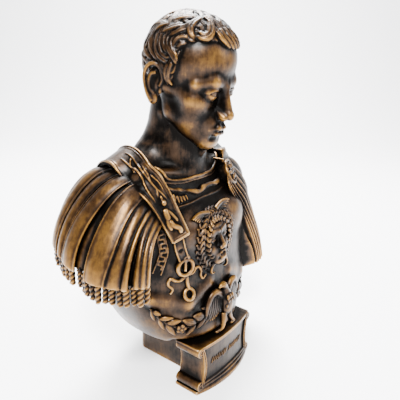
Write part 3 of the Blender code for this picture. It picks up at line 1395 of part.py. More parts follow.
def blockShell():
    # The post, with rounded upright edges.
    half, depth = BLOCK_WIDTH / 2, (BLOCK_BACK - PLAQUE_BACK) / 2 + 2.0
    middle = BLOCK_BACK - depth
    corner = []
    for quarter, (sx, sy) in enumerate(((1, 1), (-1, 1), (-1, -1), (1, -1))):
        for a in np.linspace(0, math.pi / 2, 5):
            turn = quarter * math.pi / 2 + a
            cx, cy = sx * (half - BLOCK_CORNER), middle + sy * (depth - BLOCK_CORNER)
            corner.append((cx + BLOCK_CORNER * math.cos(turn), cy + BLOCK_CORNER * math.sin(turn)))
    flat = np.array(corner)
    heart = np.array([0.0, middle])
    rings = [
        np.column_stack([heart + (flat - heart) * share, np.full(len(flat), z)])
        for share, z in ((0.975, 0.0), (1.0, 0.6), (1.0, BLOCK_HEIGHT - 0.6), (0.975, BLOCK_HEIGHT))
    ]
    return ringsShell(np.array(rings))


def strokeShells():
    # Two rows of shallow strokes in the place of an inscription.
    shells = []
    middle = (LEDGE_HEIGHT + PLAQUE_HEIGHT) / 2
    for k in range(STROKE_COUNT):
        if k == STROKE_COUNT // 2:
            continue
        x = (k - (STROKE_COUNT - 1) / 2) * STROKE_PITCH
        tall = 4.2 + 1.6 * (k % 3 == 0)
        t = np.linspace(-1, 1, 3)
        path = np.stack([x + 0.9 * t, np.full(3, plaqueFront(x)), middle + t * tall / 2], -1)
        shells.append(band(path, STROKE_WIDTH / 2, STROKE_RAISE, (0, -1, 0), 6))
    return shells


def finish(obj, colour, roughness, metallic):
    material = bpy.data.materials.new(obj.name + "_finish")
    material.use_nodes = True
    shader = material.node_tree.nodes["Principled BSDF"]
    shader.inputs["Base Color"].default_value = (*colour, 1.0)
    shader.inputs["Roughness"].default_value = roughness
    shader.inputs["Metallic"].default_value = metallic
    obj.data.materials.append(material)


def largestBody(mesh):
    # The mesh without the small bubbles left between overlapping shells
    ends = np.empty(len(mesh.edges) * 2, np.int32)
    mesh.edges.foreach_get("vertices", ends)
    ends = ends.reshape(-1, 2)
    label = np.arange(len(mesh.vertices))
    while True:
        low = np.minimum(label[ends[:, 0]], label[ends[:, 1]])
        spread = label.copy()
        np.minimum.at(spread, ends[:, 0], low)
        np.minimum.at(spread, ends[:, 1], low)
        spread = spread[spread]
        if (spread == label).all():
            break
        label = spread
    main = np.bincount(label).argmax()
    body = bmesh.new()
    body.from_mesh(mesh)
    strays = [v for v, mark in zip(body.verts, label) if mark != main]
    bmesh.ops.delete(body, geom=strays, context="VERTS")
    body.to_mesh(mesh)
    body.free()
    return mesh


def isClean(mesh):
    # Whether each edge joins two faces and no face cuts another
    body = bmesh.new()
    body.from_mesh(mesh)
    body.faces.ensure_lookup_table()
    closed = all(len(edge.link_faces) == 2 for edge in body.edges)
    tree = BVHTree.FromBMesh(body)
    faces = body.faces
    cuts = any(
        a < b and not set(faces[a].verts) & set(faces[b].verts) for a, b in tree.overlap(tree)
    )
    body.free()
    return closed and not cuts


def evaluated(obj):
    bpy.context.view_layer.update()
    graph = bpy.context.evaluated_depsgraph_get()
    return bpy.data.meshes.new_from_object(obj.evaluated_get(graph))


def makeBust():
    # The fused shells, at the first of a few voxel sizes that thins to a clean skin
    clay = bustClay().mesh("bust")
    obj = bpy.data.objects.new("bust", clay)
    bpy.context.scene.collection.objects.link(obj)
    for voxel in VOXELS:
        obj.modifiers.clear()
        obj.data = clay
        fuse = obj.modifiers.new("fuse", "REMESH")
        fuse.mode = "VOXEL"
        fuse.voxel_size = voxel * MM
        soften = obj.modifiers.new("soften", "SMOOTH")
        soften.factor = 0.5
        soften.iterations = 2
        fused = largestBody(evaluated(obj))
        fused.calc_loop_triangles()
        obj.modifiers.clear()
        obj.data = fused
        thin = obj.modifiers.new("thin", "DECIMATE")
        thin.ratio = BUST_TRIANGLES / len(fused.loop_triangles)
        thinned = evaluated(obj)
        clean = isClean(thinned)
        bpy.data.meshes.remove(thinned)
        if clean:
            break
    bpy.data.meshes.remove(clay)
    obj.data.name = "bust"
    obj.scale = (SCALE, SCALE, SCALE)
    obj.location = (0.0, 0.0, (BLOCK_HEIGHT + SEAT_GAP - BLOCK_TOP * SCALE) * MM)
    finish(obj, (0.10, 0.065, 0.03), 0.38, 0.8)
    return obj


def makePlinth():
    # The post and the plaque as one closed body.
    obj = bpy.data.objects.new("plinth", meshOf([plaqueShell()], "plinth"))
    extra = bpy.data.objects.new(
        "additions", meshOf([blockShell()] + rollShells() + strokeShells(), "additions"),
    )
    for each in (obj, extra):
        bpy.context.scene.collection.objects.link(each)
    union = obj.modifiers.new("union", "BOOLEAN")
    union.operation = "UNION"
    union.solver = "EXACT"
    union.object = extra
    bpy.context.view_layer.update()
    graph = bpy.context.evaluated_depsgraph_get()
    solid = bpy.data.meshes.new_from_object(obj.evaluated_get(graph))
    obj.modifiers.clear()
    obj.data = solid
    bpy.data.objects.remove(extra, do_unlink=True)
    finish(obj, (0.09, 0.06, 0.03), 0.4, 0.8)
    return obj


def main():
    for obj in list(bpy.data.objects):
        bpy.data.objects.remove(obj, do_unlink=True)
    makeBust()
    makePlinth()


main()
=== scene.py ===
# Portrait bust in Roman parade armour, dull gold rubbed over near-black, on a small plinth.
# The sculpting code works in millimetres: -Y is the front, +X the left arm, Z up from the floor.
import json
import math
import bpy
import numpy as np
from mathutils import Matrix, Vector

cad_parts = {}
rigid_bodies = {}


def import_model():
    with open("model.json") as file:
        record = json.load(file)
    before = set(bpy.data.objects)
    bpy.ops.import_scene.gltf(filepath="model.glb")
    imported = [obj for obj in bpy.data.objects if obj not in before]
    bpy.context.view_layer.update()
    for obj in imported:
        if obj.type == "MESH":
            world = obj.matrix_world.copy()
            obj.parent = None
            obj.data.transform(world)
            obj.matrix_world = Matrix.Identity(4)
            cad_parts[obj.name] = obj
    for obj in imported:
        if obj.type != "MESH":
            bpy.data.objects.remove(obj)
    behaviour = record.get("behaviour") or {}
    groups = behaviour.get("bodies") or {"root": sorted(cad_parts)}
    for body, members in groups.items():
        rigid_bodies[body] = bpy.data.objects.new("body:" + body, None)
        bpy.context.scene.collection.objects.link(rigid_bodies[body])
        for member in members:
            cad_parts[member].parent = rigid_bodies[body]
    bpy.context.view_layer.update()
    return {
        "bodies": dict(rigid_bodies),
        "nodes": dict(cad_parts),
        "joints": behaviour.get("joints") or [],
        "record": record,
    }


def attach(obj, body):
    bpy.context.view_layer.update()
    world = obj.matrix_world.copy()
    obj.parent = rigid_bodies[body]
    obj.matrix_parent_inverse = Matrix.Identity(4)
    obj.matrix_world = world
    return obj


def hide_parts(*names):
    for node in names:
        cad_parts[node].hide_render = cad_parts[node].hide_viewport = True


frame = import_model()
mm = 0.001
bustHeight = 260.0
armourThickness = 1.8

# voxel size in mm and most triangles, for each sculpted piece
fineness = {
    "head": (0.45, 185000),
    "cuirass": (0.55, 120000),
    "cape": (0.5, 130000),
    "cloak": (0.55, 100000),
    "strap": (0.38, 90000),
    "gorgon": (0.32, 110000),
    "festoon": (0.36, 110000),
    "pedestal": (0.34, 90000),
}


# Small vector tools
def unit(v):
    return v / np.maximum(np.linalg.norm(v, axis=-1, keepdims=True), 1e-9)


def smooth(t):
    t = np.clip(t, 0.0, 1.0)
    return t * t * (3.0 - 2.0 * t)


def through(points, count):
    # A smooth run of count points through the given ones.
    p = np.asarray(points, float)
    if p.ndim == 1:
        p = p[:, None]
    at = np.linspace(0, len(p) - 1, count)
    i = np.minimum(at.astype(int), len(p) - 2)
    t = (at - i)[:, None]
    q = np.vstack([2 * p[0] - p[1], p, 2 * p[-1] - p[-2]])
    a, b, c, d = q[i], q[i + 1], q[i + 2], q[i + 3]
    out = 0.5 * (
        2 * b + (c - a) * t + (2 * a - 5 * b + 4 * c - d) * t**2 + (3 * b - a - 3 * c + d) * t**3
    )
    return out if out.shape[1] > 1 else out[:, 0]


def table(x, stations):
    # Smoothly interpolated columns of a station table, whose first column rises.
    s = np.asarray(stations, float)
    slope = np.gradient(s[:, 1:], s[:, 0], axis=0)
    x = np.clip(x, s[0, 0], s[-1, 0])
    i = np.clip(np.searchsorted(s[:, 0], x) - 1, 0, len(s) - 2)
    w = s[i + 1, 0] - s[i, 0]
    t = ((x - s[i, 0]) / w)[..., None]
    w = w[..., None]
    return (
        s[i, 1:] * (2 * t**3 - 3 * t**2 + 1)
        + s[i + 1, 1:] * (3 * t**2 - 2 * t**3)
        + w * (slope[i] * (t**3 - 2 * t**2 + t) + slope[i + 1] * (t**3 - t**2))
    )


def fullTurn(count):
    return np.linspace(0, 2 * math.pi, count, endpoint=False)


def tapered(count):
    # widths of a run that narrows at both ends
    return np.sqrt(np.maximum(1 - np.linspace(-1, 1, count) ** 6, 0.12))


def xyz(*values):
    # points from their coordinates, each a number or an array
    return np.stack(np.broadcast_arrays(*values), -1)


def sampled(u, stations, values):
    # points read off a table at the places u
    return np.stack([np.interp(u, stations, values[:, k]) for k in range(3)], -1)


# Distance fields: negative inside, and blended with a soft join
def ball(p, c, r):
    return np.linalg.norm(p - np.array(c), axis=-1) - r


def egg(p, c, r):
    q = p - np.array(c, float)
    r = np.array(r, float)
    k0 = np.linalg.norm(q / r, axis=-1)
    k1 = np.linalg.norm(q / r**2, axis=-1)
    return k0 * (k0 - 1.0) / np.maximum(k1, 1e-6)


def rod(p, a, b, ra, rb):
    a, b = np.array(a, float), np.array(b, float)
    h = np.clip((p - a) @ (b - a) / max((b - a) @ (b - a), 1e-9), 0, 1)
    return np.linalg.norm(p - a - h[..., None] * (b - a), axis=-1) - (ra + (rb - ra) * h)


def join(d, e, k):
    h = np.clip(0.5 + 0.5 * (e - d) / k, 0, 1)
    return e + (d - e) * h - k * h * (1 - h)


def carve(d, e, k):
    return -join(-d, e, k)


class Surface:
    # A closed form that every ray from its centre meets once.

    def __init__(self, field, centre, reach):
        self.field = field
        self.centre = np.array(centre, float)
        self.reach = reach

    def radius(self, rays, start=None, steps=34):
        r = np.full(rays.shape[:-1], float(self.reach)) if start is None else start
        for _ in range(steps):
            r = np.maximum(r - 0.85 * self.field(self.centre + rays * r[..., None]), 1.0)
        return r

    def fineRadius(self, rays, grain=5):
        # a coarse answer first, and a few steps from just outside it
        coarse = self.radius(rays[::grain, ::grain])
        reach = coarse
        for shift in ((1, 0), (-1, 0), (0, 1), (0, -1)):
            reach = np.maximum(reach, np.roll(coarse, shift, (0, 1)))
        start = np.repeat(np.repeat(reach, grain, 0), grain, 1)[: rays.shape[0], : rays.shape[1]]
        return self.radius(rays, start + 2.0, 12)

    def normal(self, p, e=0.6):
        steps = np.eye(3) * e
        return unit(np.stack([self.field(p + s) - self.field(p - s) for s in steps], axis=-1))

    def land(self, points):
        # The nearest places along the rays through the points, with their outward normals.
        rays = unit(np.asarray(points, float) - self.centre)
        p = self.centre + rays * self.radius(rays)[..., None]
        return p, self.normal(p)

    def shell(self, rows, columns, tight=0.0, extra=None):
        u = np.linspace(-math.pi, math.pi, columns, endpoint=False)
        v = np.linspace(-math.pi / 2, math.pi / 2, rows + 2)[1:-1]
        azimuth = u - tight * np.sin(u)
        rise = v - 0.5 * tight * np.sin(2 * v)
        rise, azimuth = np.meshgrid(rise, azimuth, indexing="ij")
        rays = xyz(np.cos(rise) * np.sin(azimuth), -np.cos(rise) * np.cos(azimuth), np.sin(rise))
        r = self.fineRadius(rays) if rows > 150 else self.radius(rays)
        if extra is not None:
            r = r + extra(rays)
        return ringsShell(self.centre + rays * r[..., None])


# Closed shells of triangles
def ringsShell(rings):
    n, m, _ = rings.shape
    points = np.vstack([rings.reshape(-1, 3), rings[0].mean(0), rings[-1].mean(0)])
    i, j = np.meshgrid(np.arange(n - 1), np.arange(m), indexing="ij")
    a, b = (i * m + j).ravel(), (i * m + (j + 1) % m).ravel()
    k = np.arange(m)
    after = (k + 1) % m
    faces = np.vstack(
        [
            np.stack([a, b, b + m], 1),
            np.stack([a, b + m, a + m], 1),
            np.stack([np.full(m, n * m), after, k], 1),
            np.stack([np.full(m, n * m + 1), (n - 1) * m + k, (n - 1) * m + after], 1),
        ]
    )
    return points, faces


def band(path, halfWidth, halfHeight, normals, sides=8, squareness=2.0, ridges=0, groove=0.0):
    # A strip swept along a path that lies flat on normals. ridges cut strands along it.
    path = np.asarray(path, float)
    n = len(path)
    width = np.broadcast_to(np.asarray(halfWidth, float), (n,))[:, None, None]
    height = np.broadcast_to(np.asarray(halfHeight, float), (n,))[:, None, None]
    along = unit(np.gradient(path, axis=0))
    up = np.broadcast_to(np.asarray(normals, float), path.shape)
    up = unit(up - (up * along).sum(-1, keepdims=True) * along)
    side = np.cross(along, up)
    angle = fullTurn(sides)
    c, s = np.cos(angle), np.sin(angle)
    c = np.sign(c) * np.abs(c) ** (2 / squareness)
    s = np.sign(s) * np.abs(s) ** (2 / squareness)
    if ridges:
        s = s * (1 - groove * (0.5 + 0.5 * np.cos(math.pi * ridges * (c + 1))))
    c, s = c[None, :, None], s[None, :, None]
    return ringsShell(path[:, None] + side[:, None] * width * c + up[:, None] * height * s)


def blob(centre, radii, turn=None, sides=10):
    v = np.linspace(-math.pi / 2, math.pi / 2, sides // 2 + 3)[1:-1]
    u = fullTurn(sides)
    v, u = np.meshgrid(v, u, indexing="ij")
    p = xyz(np.cos(v) * np.cos(u), np.cos(v) * np.sin(u), np.sin(v)) * np.array(radii, float)
    if turn is not None:
        p = p @ np.asarray(turn, float).T
    return ringsShell(p + np.array(centre, float))


def basis(normal, up=(0.0, 0.0, 1.0)):
    # Columns: across, up along the surface, out of it.
    n = unit(np.asarray(normal, float))
    across = unit(np.cross(np.asarray(up, float), n))
    return xyz(across, np.cross(n, across), n)


def meshOf(name, shells):
    # closed shells, each turned to face out, in one mesh
    points, faces, count = [], [], 0
    for dots, corners in shells:
        q = dots[corners]
        if np.einsum("ij,ij->i", q[:, 0], np.cross(q[:, 1], q[:, 2])).sum() < 0:
            corners = corners[:, ::-1]
        points.append(dots)
        faces.append(corners + count)
        count += len(dots)
    points, faces = np.vstack(points) * mm, np.vstack(faces)
    mesh = bpy.data.meshes.new(name)
    mesh.vertices.add(len(points))
    mesh.vertices.foreach_set("co", points.astype(np.float32).ravel())
    mesh.loops.add(faces.size)
    mesh.loops.foreach_set("vertex_index", faces.astype(np.int32).ravel())
    mesh.polygons.add(len(faces))
    mesh.polygons.foreach_set("loop_start", np.arange(0, faces.size, 3, dtype=np.int32))
    mesh.update(calc_edges=True)
    mesh.validate()
    return mesh


# Head, in hundredths of its own height, with its middle between the temples
def headField(p):
    h = xyz(np.abs(p[..., 0]), p[..., 1], p[..., 2])
    # skull, forehead, middle of the face and jaw
    d = egg(h, (0, 3, 13), (33, 35.5, 36.5))
    d = join(d, egg(h, (0, -10, 19), (28.5, 27, 27)), 9)
    d = join(d, egg(h, (0, -12, -9), (23.5, 22.5, 30)), 9)
    d = join(d, egg(h, (0, -10, -28), (18.5, 22, 19)), 8)
    d = join(d, egg(h, (12.5, -18.5, -22), (11.5, 12.0, 15)), 9)
    d = join(d, rod(h, (24, 3, -8), (19.5, -4, -25), 3.4, 3.8), 9)
    d = join(d, rod(h, (19.5, -4, -25), (7, -30.5, -42), 3.8, 5.0), 11)
    d = join(d, egg(h, (0, -33.2, -42.6), (9.0, 6.6, 7.0)), 7)
    # cheekbones and the muscle round the mouth
    d = join(d, egg(h, (16.5, -22.0, -9.5), (10, 8.5, 7.5)), 10)
    d = join(d, rod(h, (20, -19.0, -7), (28.5, 0, -5), 2.2, 2.0), 8)
    d = join(d, egg(h, (0, -32.6, -28.5), (13, 8.6, 11.5)), 8)
    # sockets, brows and the root of the nose
    d = carve(d, egg(h, (12.6, -40.5, -0.9), (9.6, 8.0, 5.0)), 5)
    d = join(d, rod(h, (3, -34.4, 5.4), (13, -32.4, 7.2), 3.0, 3.0), 7)
    d = join(d, rod(h, (13, -32.4, 7.2), (24, -23.8, 3.6), 3.0, 2.4), 7)
    d = eyeField(h, d)
    # nose
    d = join(d, rod(h, (0, -37.0, 3), (0, -45.6, -14.5), 2.3, 3.0), 5)
    d = join(d, ball(h, (0, -46.4, -16.8), 3.4), 3)
    d = join(d, egg(h, (4.2, -42.4, -18.6), (2.7, 4.4, 2.9)), 2.0)
    d = carve(d, egg(h, (2.7, -44.2, -22.2), (1.4, 2.2, 1.8)), 0.9)
    # mouth and chin
    d = join(d, rod(h, (0, -42.6, -28.3), (4, -41.8, -27.9), 1.6, 1.7), 1.6)
    d = join(d, rod(h, (4, -41.8, -27.9), (10.2, -36.8, -30.3), 1.6, 0.7), 2.0)
    d = join(d, rod(h, (0, -41.3, -33.4), (4.5, -40.5, -33.2), 2.1, 2.0), 2.0)
    d = join(d, rod(h, (4.5, -40.5, -33.2), (9.4, -36.8, -31.2), 1.9, 0.7), 2.0)
    d = carve(d, rod(h, (0, -44.0, -30.7), (10.4, -37.4, -30.8), 0.45, 0.45), 0.9)
    d = carve(d, rod(h, (0, -43.4, -22.8), (0, -43.8, -26.4), 0.7, 1.0), 1.4)
    d = carve(d, rod(h, (0, -42.6, -37.8), (7, -39.5, -37.2), 1.4, 1.0), 4)
    return d


def eyeField(h, d):
    # an eyeball between an upper and a lower lid
    centre = (12.8, -30.0, -1.0)
    across = h[..., 0] - centre[0]
    rise = h[..., 2] - centre[2] - 0.05 * across
    opening = np.maximum(1 - (across / 6.4) ** 2, 0)
    upper = np.maximum(ball(h, centre, 7.7), 2.9 * opening**0.8 - 0.4 - rise)
    lower = np.maximum(ball(h, centre, 7.3), rise + 2.1 * opening**0.8 + 0.2)
    d = join(d, upper, 1.2)
    d = join(d, lower, 1.4)
    d = join(d, ball(h, centre, 6.5), 0.5)
    return carve(d, ball(h, (12.6, -37.6, -0.6), 1.3), 0.5)


hairline = (
    (0, -36, 35), (8, -34, 36), (13, -30, 38), (17, -27, 39), (23, -22, 36), (27, -16, 34),
    (30, -12, 31), (32, -9, 26), (33, -8, 16), (34, -7, 4), (33, -5, -3), (34, 1, 2), (34, 6, 10),
    (32, 16, 2), (29, 22, -20), (17, 31, -33), (0, 34, -37),
)
head = {"height": 94, "bow": 14, "turn": 5}  # size in mm, then degrees
whorl = unit(np.array([0.0, 0.42, 0.91]))
headHeart = np.array([0.0, -5.0, -3.0])


class Hair:
    # combing directions: turn runs round the whorl from the brow, and reach 1 is the hairline
    def __init__(self):
        self.front = unit(np.array([0.0, -whorl[2], whorl[1]]))
        self.side = np.cross(self.front, whorl)
        turn, polar = self.turnOf(unit(np.array(hairline, float) - headHeart))
        order = np.argsort(np.abs(turn))
        self.turns, self.polars = np.abs(turn)[order], polar[order]
        self.turns[0], self.turns[-1] = 0.0, math.pi

    def turnOf(self, rays):
        polar = np.arccos(np.clip(rays @ whorl, -1, 1))
        return np.arctan2(rays @ self.side, rays @ self.front), polar

    def edge(self, turn):
        turn = np.abs((turn + math.pi) % (2 * math.pi) - math.pi)
        return np.interp(turn, self.turns, self.polars)

    def ray(self, turn, reach):
        polar = reach * self.edge(turn)
        flat = np.cos(turn)[..., None] * self.front + np.sin(turn)[..., None] * self.side
        return np.cos(polar)[..., None] * whorl + np.sin(polar)[..., None] * flat

    def cap(self, rays):
        turn, polar = self.turnOf(rays)
        return 1.5 * smooth((self.edge(turn) - polar) / 0.07)


# each row of locks: where it starts and ends, how many, half width, height, side hook
lockRows = (
    (0.00, 0.32, 9, 3.6, 1.5, 0.6), (0.15, 0.47, 17, 3.5, 1.5, 0.45),
    (0.31, 0.64, 25, 3.3, 1.6, 0.2), (0.48, 0.80, 32, 3.1, 1.7, -0.25),
    (0.64, 0.92, 38, 2.9, 1.7, -0.25), (0.78, 1.00, 44, 2.6, 1.7, -0.22),
)


def hairLocks(hair, skin, rng, steps, sides, ridges):
    # rows of overlapping locks, combed forward at the sides
    plans = []
    for start, end, count, wide, high, hook in lockRows:
        for k in range(count):
            turn = 2 * math.pi * (k + 0.5 * (count % 2)) / count + rng.uniform(-0.05, 0.05)
            t = np.linspace(0, 1, steps)
            stretch = end + rng.uniform(-0.03, 0.02)
            facing = np.sign(math.sin(turn))
            bend = hook * facing * (t**2 - 0.2) * (0.4 + abs(math.sin(turn)))
            bend = bend + rng.uniform(-0.07, 0.07) * np.sin(math.pi * 1.6 * t)
            ray = hair.ray(turn + bend, start + (stretch - start) * t)
            plans.append((ray, t, wide * rng.uniform(0.85, 1.1), high, start))
    rays = np.stack([p[0] for p in plans])
    r = skin.radius(rays)
    shells = []
    for (ray, t, wide, high, start), base in zip(plans, r):
        lift = 0.9 + 1.5 * (1 - start) * np.sin(math.pi * np.minimum(t, 0.5)) - 0.3 * t
        path = skin.centre + ray * (base + lift)[:, None]
        shells.append(
            band(path, 0.85 * wide * lockTaper(t), high * lockTaper(t), ray, sides, 2.0, ridges, 0.42)
        )
    return shells


def lockTaper(t):
    return np.sqrt(np.maximum(1 - np.abs(2 * t - 0.75) ** 2.4 / 1.75, 0.03))


# locks that are set one by one: half width, height, and the run from root to tip on the bust's right
sideLocks = (
    (2.2, 2.0, ((-21, 34, 13), (-26, 29, 11), (-31, 21, 9))),
    (2.3, 2.0, ((-21, 32, 24), (-24, 31, 20), (-28, 26, 16), (-31, 21, 14), (-34, 15, 12))),
    (2.3, 2.1, ((-27, 22, 29), (-30, 21, 23), (-33, 17, 19), (-34, 12, 16), (-35, 7, 13))),
    (
        2.3, 2.1,
        ((-29, 16, 31), (-32, 14, 25), (-34, 11, 20), (-35, 7, 17), (-35, 2, 15), (-35, -2, 14)),
    ),
    (2.2, 2.2, ((-30, 12, 32), (-32, 10, 27), (-34, 8, 23), (-35, 4, 19), (-35, -1, 17))),
    (2.2, 2.2, ((-31, 8, 32), (-33, 6, 27), (-34, 3, 23), (-35, -1, 21))),
    (2.2, 2.2, ((-31, 4, 32), (-33, 3, 27), (-34, -1, 23), (-35, -5, 20), (-34, -9, 15))),
    (2.1, 2.2, ((-31, -1, 33), (-33, 0, 29), (-34, -3, 24), (-34, -7, 21), (-34, -9, 17))),
    (2.0, 2.2, ((-28, -10, 35), (-30, -5, 33), (-32, -3, 30), (-33, -3, 26), (-34, -7, 22))),
    (3.6, 2.0, ((-24, -1, 42), (-27, 6, 38), (-29, 14, 33))),
    (3.4, 2.0, ((-24, 12, 40), (-25, 18, 36), (-26, 22, 31))),
    (3.4, 2.0, ((-23, 15, 39), (-18, 27, 36), (-17, 32, 31), (-24, 27, 28))),
    (1.9, 1.8, ((-35, -5, 15), (-35, -4, 9), (-34, -4, 3), (-33, -8, -2))),
    (1.9, 1.8, ((-35, -2, 13), (-35, -1, 8), (-34, -2, 3), (-34, -5, -1))),
)
browLocks = (
    (1.9, 2.0, ((-17, -7, 47), (-23, -5, 42), (-27, -1, 39), (-29, 4, 35))),
    (1.9, 2.0, ((-22, -7, 43), (-26, -4, 39), (-29, 0, 36), (-30, 5, 34))),
    (1.9, 2.0, ((-24, -8, 41), (-27, -4, 38), (-30, 1, 34), (-31, 5, 32))),
    (3.6, 1.9, ((-14, -5, 49), (-18, 3, 46), (-22, 11, 43))),
    (
        2.7, 3.0,
        (
            (-10, -10, 49), (-11, -15, 47), (-14, -20, 44), (-17, -23, 41), (-21, -23, 38),
            (-24, -20, 37), (-25, -15, 37),
        ),
    ),
    (
        2.0, 2.6,
        (
            (-11, -14, 48), (-15, -18, 45), (-19, -21, 41), (-22, -20, 39), (-23, -17, 40),
            (-21, -17, 41),
        ),
    ),
    (1.8, 2.2, ((-13, -9, 48), (-20, -9, 44), (-24, -10, 40), (-26, -13, 37), (-26, -16, 36))),
    (1.8, 2.2, ((-15, -7, 47), (-22, -7, 43), (-25, -8, 40), (-27, -11, 37), (-27, -16, 35))),
    (2.1, 2.4, ((-12, -22, 45), (-12, -27, 41), (-10, -31, 38), (-5, -35, 34))),
    (2.1, 2.4, ((-8, -24, 45), (-8, -29, 41), (-5, -33, 38), (0, -36, 34))),
    (2.1, 2.4, ((-2, -24, 46), (-3, -29, 42), (0, -33, 38), (5, -36, 33.5))),
    (2.1, 2.4, ((4, -24, 46), (3, -30, 41), (6, -33, 38), (10, -34.5, 33.5))),
    (2.1, 2.4, ((9, -24, 45), (9, -29, 41), (11, -32, 37), (15, -32.5, 33.5))),
    (2.1, 2.4, ((14, -22, 44), (15, -27, 40), (17, -29.5, 36), (20.5, -29, 33))),
    (2.1, 2.4, ((18, -18, 44), (20, -23, 39), (22.5, -25, 35), (25, -24, 31))),
    (2.1, 2.4, ((21, -13, 43), (24, -18, 38), (27, -19, 33), (29, -17, 29))),
    (2.1, 2.3, ((23, -9, 42), (27, -12, 37), (30, -13, 32), (31.5, -13, 26))),
    (3.0, 1.8, ((-8, -9, 50), (-7, -14, 49), (-11, -20, 46))),
    (3.0, 1.8, ((6, -6, 51), (3, -14, 49), (-6, -21, 46.5))),
    (3.0, 1.8, ((7, -12, 51), (9, -16, 48), (-1, -24, 46))),
    (3.0, 1.8, ((12, -14, 49), (12, -19, 47), (6, -25, 45))),
    (3.0, 1.8, ((18, -8, 47), (18, -14, 45), (14, -21, 44))),
)


def setLocks(skin, runs, steps, sides, ridges):
    shells = []
    for wide, high, run in runs:
        ray = unit(through(run, steps) - skin.centre)
        t = np.linspace(0, 1, steps)
        path = skin.centre + ray * (skin.radius(ray) + 1.7 + 0.5 * np.sin(math.pi * t))[:, None]
        shells.append(
            band(path, wide * lockTaper(t), high * lockTaper(t), ray, sides, 2.0, ridges, 0.42)
        )
    return shells


helixRun = (
    (-2.5, -1), (-4, 5), (-1, 11.5), (4.5, 13), (9.5, 9), (10.5, 2), (8, -5), (4.5, -10), (1, -13),
)
antihelixRun = ((2, 7.5), (5.5, 5), (6.3, 0), (4.5, -5), (1, -7.5))


def earShells(steps, sides):
    # The ear on the +X side. Its back edge stands off the head.

    def place(run, off):
        run = np.asarray(run, float)
        u, v = run[:, 0], run[:, 1]
        return xyz(30.8 + 0.30 * (u + 4) + off, 5.5 + u, -4.5 + 1.08 * v + 0.12 * u)

    out = unit(np.array([0.96, -0.28, 0.0]))
    turn = basis(out)
    shells = [
        blob((32.4, 8.2, -4.4), (7.6, 12.8, 2.0), turn, 24),
        blob((30.5, 6.0, -4.0), (3.4, 9.0, 3.6), turn, 20),
    ]
    helix = place(through(helixRun, steps), 1.7)
    swell = through((1.0, 1.4, 1.7, 1.8, 1.6, 1.5, 1.6, 2.0, 2.2), steps)
    shells.append(band(helix, swell, swell, out, sides))
    shells.append(band(place(through(antihelixRun, steps), 1.2), 1.6, 1.4, out, sides))
    shells.append(blob(place([(-3.2, -3.4)], 0.2)[0], (1.8, 3.4, 1.7), turn, 14))
    shells.append(blob(place([(1.4, -11.0)], 0.8)[0], (4.2, 5.2, 2.0), turn, 14))
    return shells


def mirrorX(shells):
    return [(points * np.array([-1.0, 1.0, 1.0]), faces) for points, faces in shells]


def headShells(rows, columns, steps, sides, ridges, seed=4):
    skin = Surface(headField, headHeart, 75)
    hair = Hair()
    rng = np.random.default_rng(seed)
    shells = [skin.shell(rows, columns, 0.45, hair.cap)]
    shells += hairLocks(hair, skin, rng, steps, sides, ridges)
    shells += setLocks(skin, sideLocks + browLocks, steps, sides, ridges)
    shells += mirrorX(setLocks(skin, sideLocks, steps, sides, ridges))
    ear = earShells(steps + 8, sides)
    return shells + ear + mirrorX(ear)


def headPlace(height, bow, turn):
    # From head shares to the bust: bowed, turned, and set with its crown at the top.
    s = height / 100.0
    b, t = math.radians(bow), math.radians(turn)
    bowed = np.array([[1, 0, 0], [0, math.cos(b), -math.sin(b)], [0, math.sin(b), math.cos(b)]])
    turned = np.array([[math.cos(t), -math.sin(t), 0], [math.sin(t), math.cos(t), 0], [0, 0, 1]])
    crown = s * (50.5 * math.cos(b) + 1.2) + 1.6
    centre = np.array([0.0, 6.5, bustHeight + blockTop - crown])
    return lambda p: (p * s) @ (turned @ bowed).T + centre


# Torso, in millimetres above the floor at the natural size
blockTop = 40.0
# Height, half width, front, back
trunk = (
    (40, 42, -33, 58), (46, 48, -34, 62), (58, 56, -33, 65), (72, 62, -32, 66), (88, 66, -30, 66),
    (104, 68, -28, 67), (120, 70, -27, 68), (136, 72, -25, 69), (150, 73, -21, 68),
    (162, 68, -12, 64), (172, 54, -3, 58), (182, 34, 4, 50), (190, 16, 12, 40),
)
torsoHeart = np.array([0.0, 20.0, 112.0])


def trunkField(p):
    z = p[..., 2]
    row = table(z, trunk)
    half, front, back = row[..., 0], row[..., 1], row[..., 2]
    middle, depth = (front + back) / 2, (back - front) / 2
    power = 2.4
    g = (
        np.abs(p[..., 0] / half) ** power + np.abs((p[..., 1] - middle) / depth) ** power
    ) ** (1 / power)
    side = (g - 1) * np.minimum(half, depth)
    return np.maximum(side, z - 190.0)


def bodyField(p):
    x = np.abs(p[..., 0])
    h = xyz(x, p[..., 1], p[..., 2])
    d = trunkField(p)
    d = join(d, egg(h, (36, 25, 158.5), (43, 32, 28.5)), 12)
    d = join(d, egg(h, (60, 20, 134), (20, 24, 30)), 10)
    d = join(d, egg(h, (25, -8, 136), (25, 18.5, 20)), 7)
    d = join(d, rod(p, (0, 21, 172), (0, 13, 235), 28, 23.0), 16)
    d = join(d, rod(h, (4, 28, 200), (44, 27, 178), 12, 13), 12)
    d = join(d, rod(h, (20, 12, 226), (5.5, 0, 179), 4.0, 3.6), 3)
    d = join(d, rod(h, (7, -2, 177), (50, 5, 186), 3.0, 3.5), 5)
    d = join(d, egg(p, (0, -11, 203), (4.5, 4.5, 7)), 5)
    d = carve(d, rod(h, (0, -36, 122), (0, -35, 60), 0.8, 1.2), 5)
    d = carve(d, rod(h, (3, -35, 116), (16, -34.5, 96), 0.9, 1.2), 5)
    d = join(d, rod(h, (14, -27.8, 92), (36, -24.8, 82), 0.9, 0.9), 8)
    d = join(d, rod(h, (36, -24.8, 82), (60, -9.2, 90), 0.9, 0.8), 8)
    return d


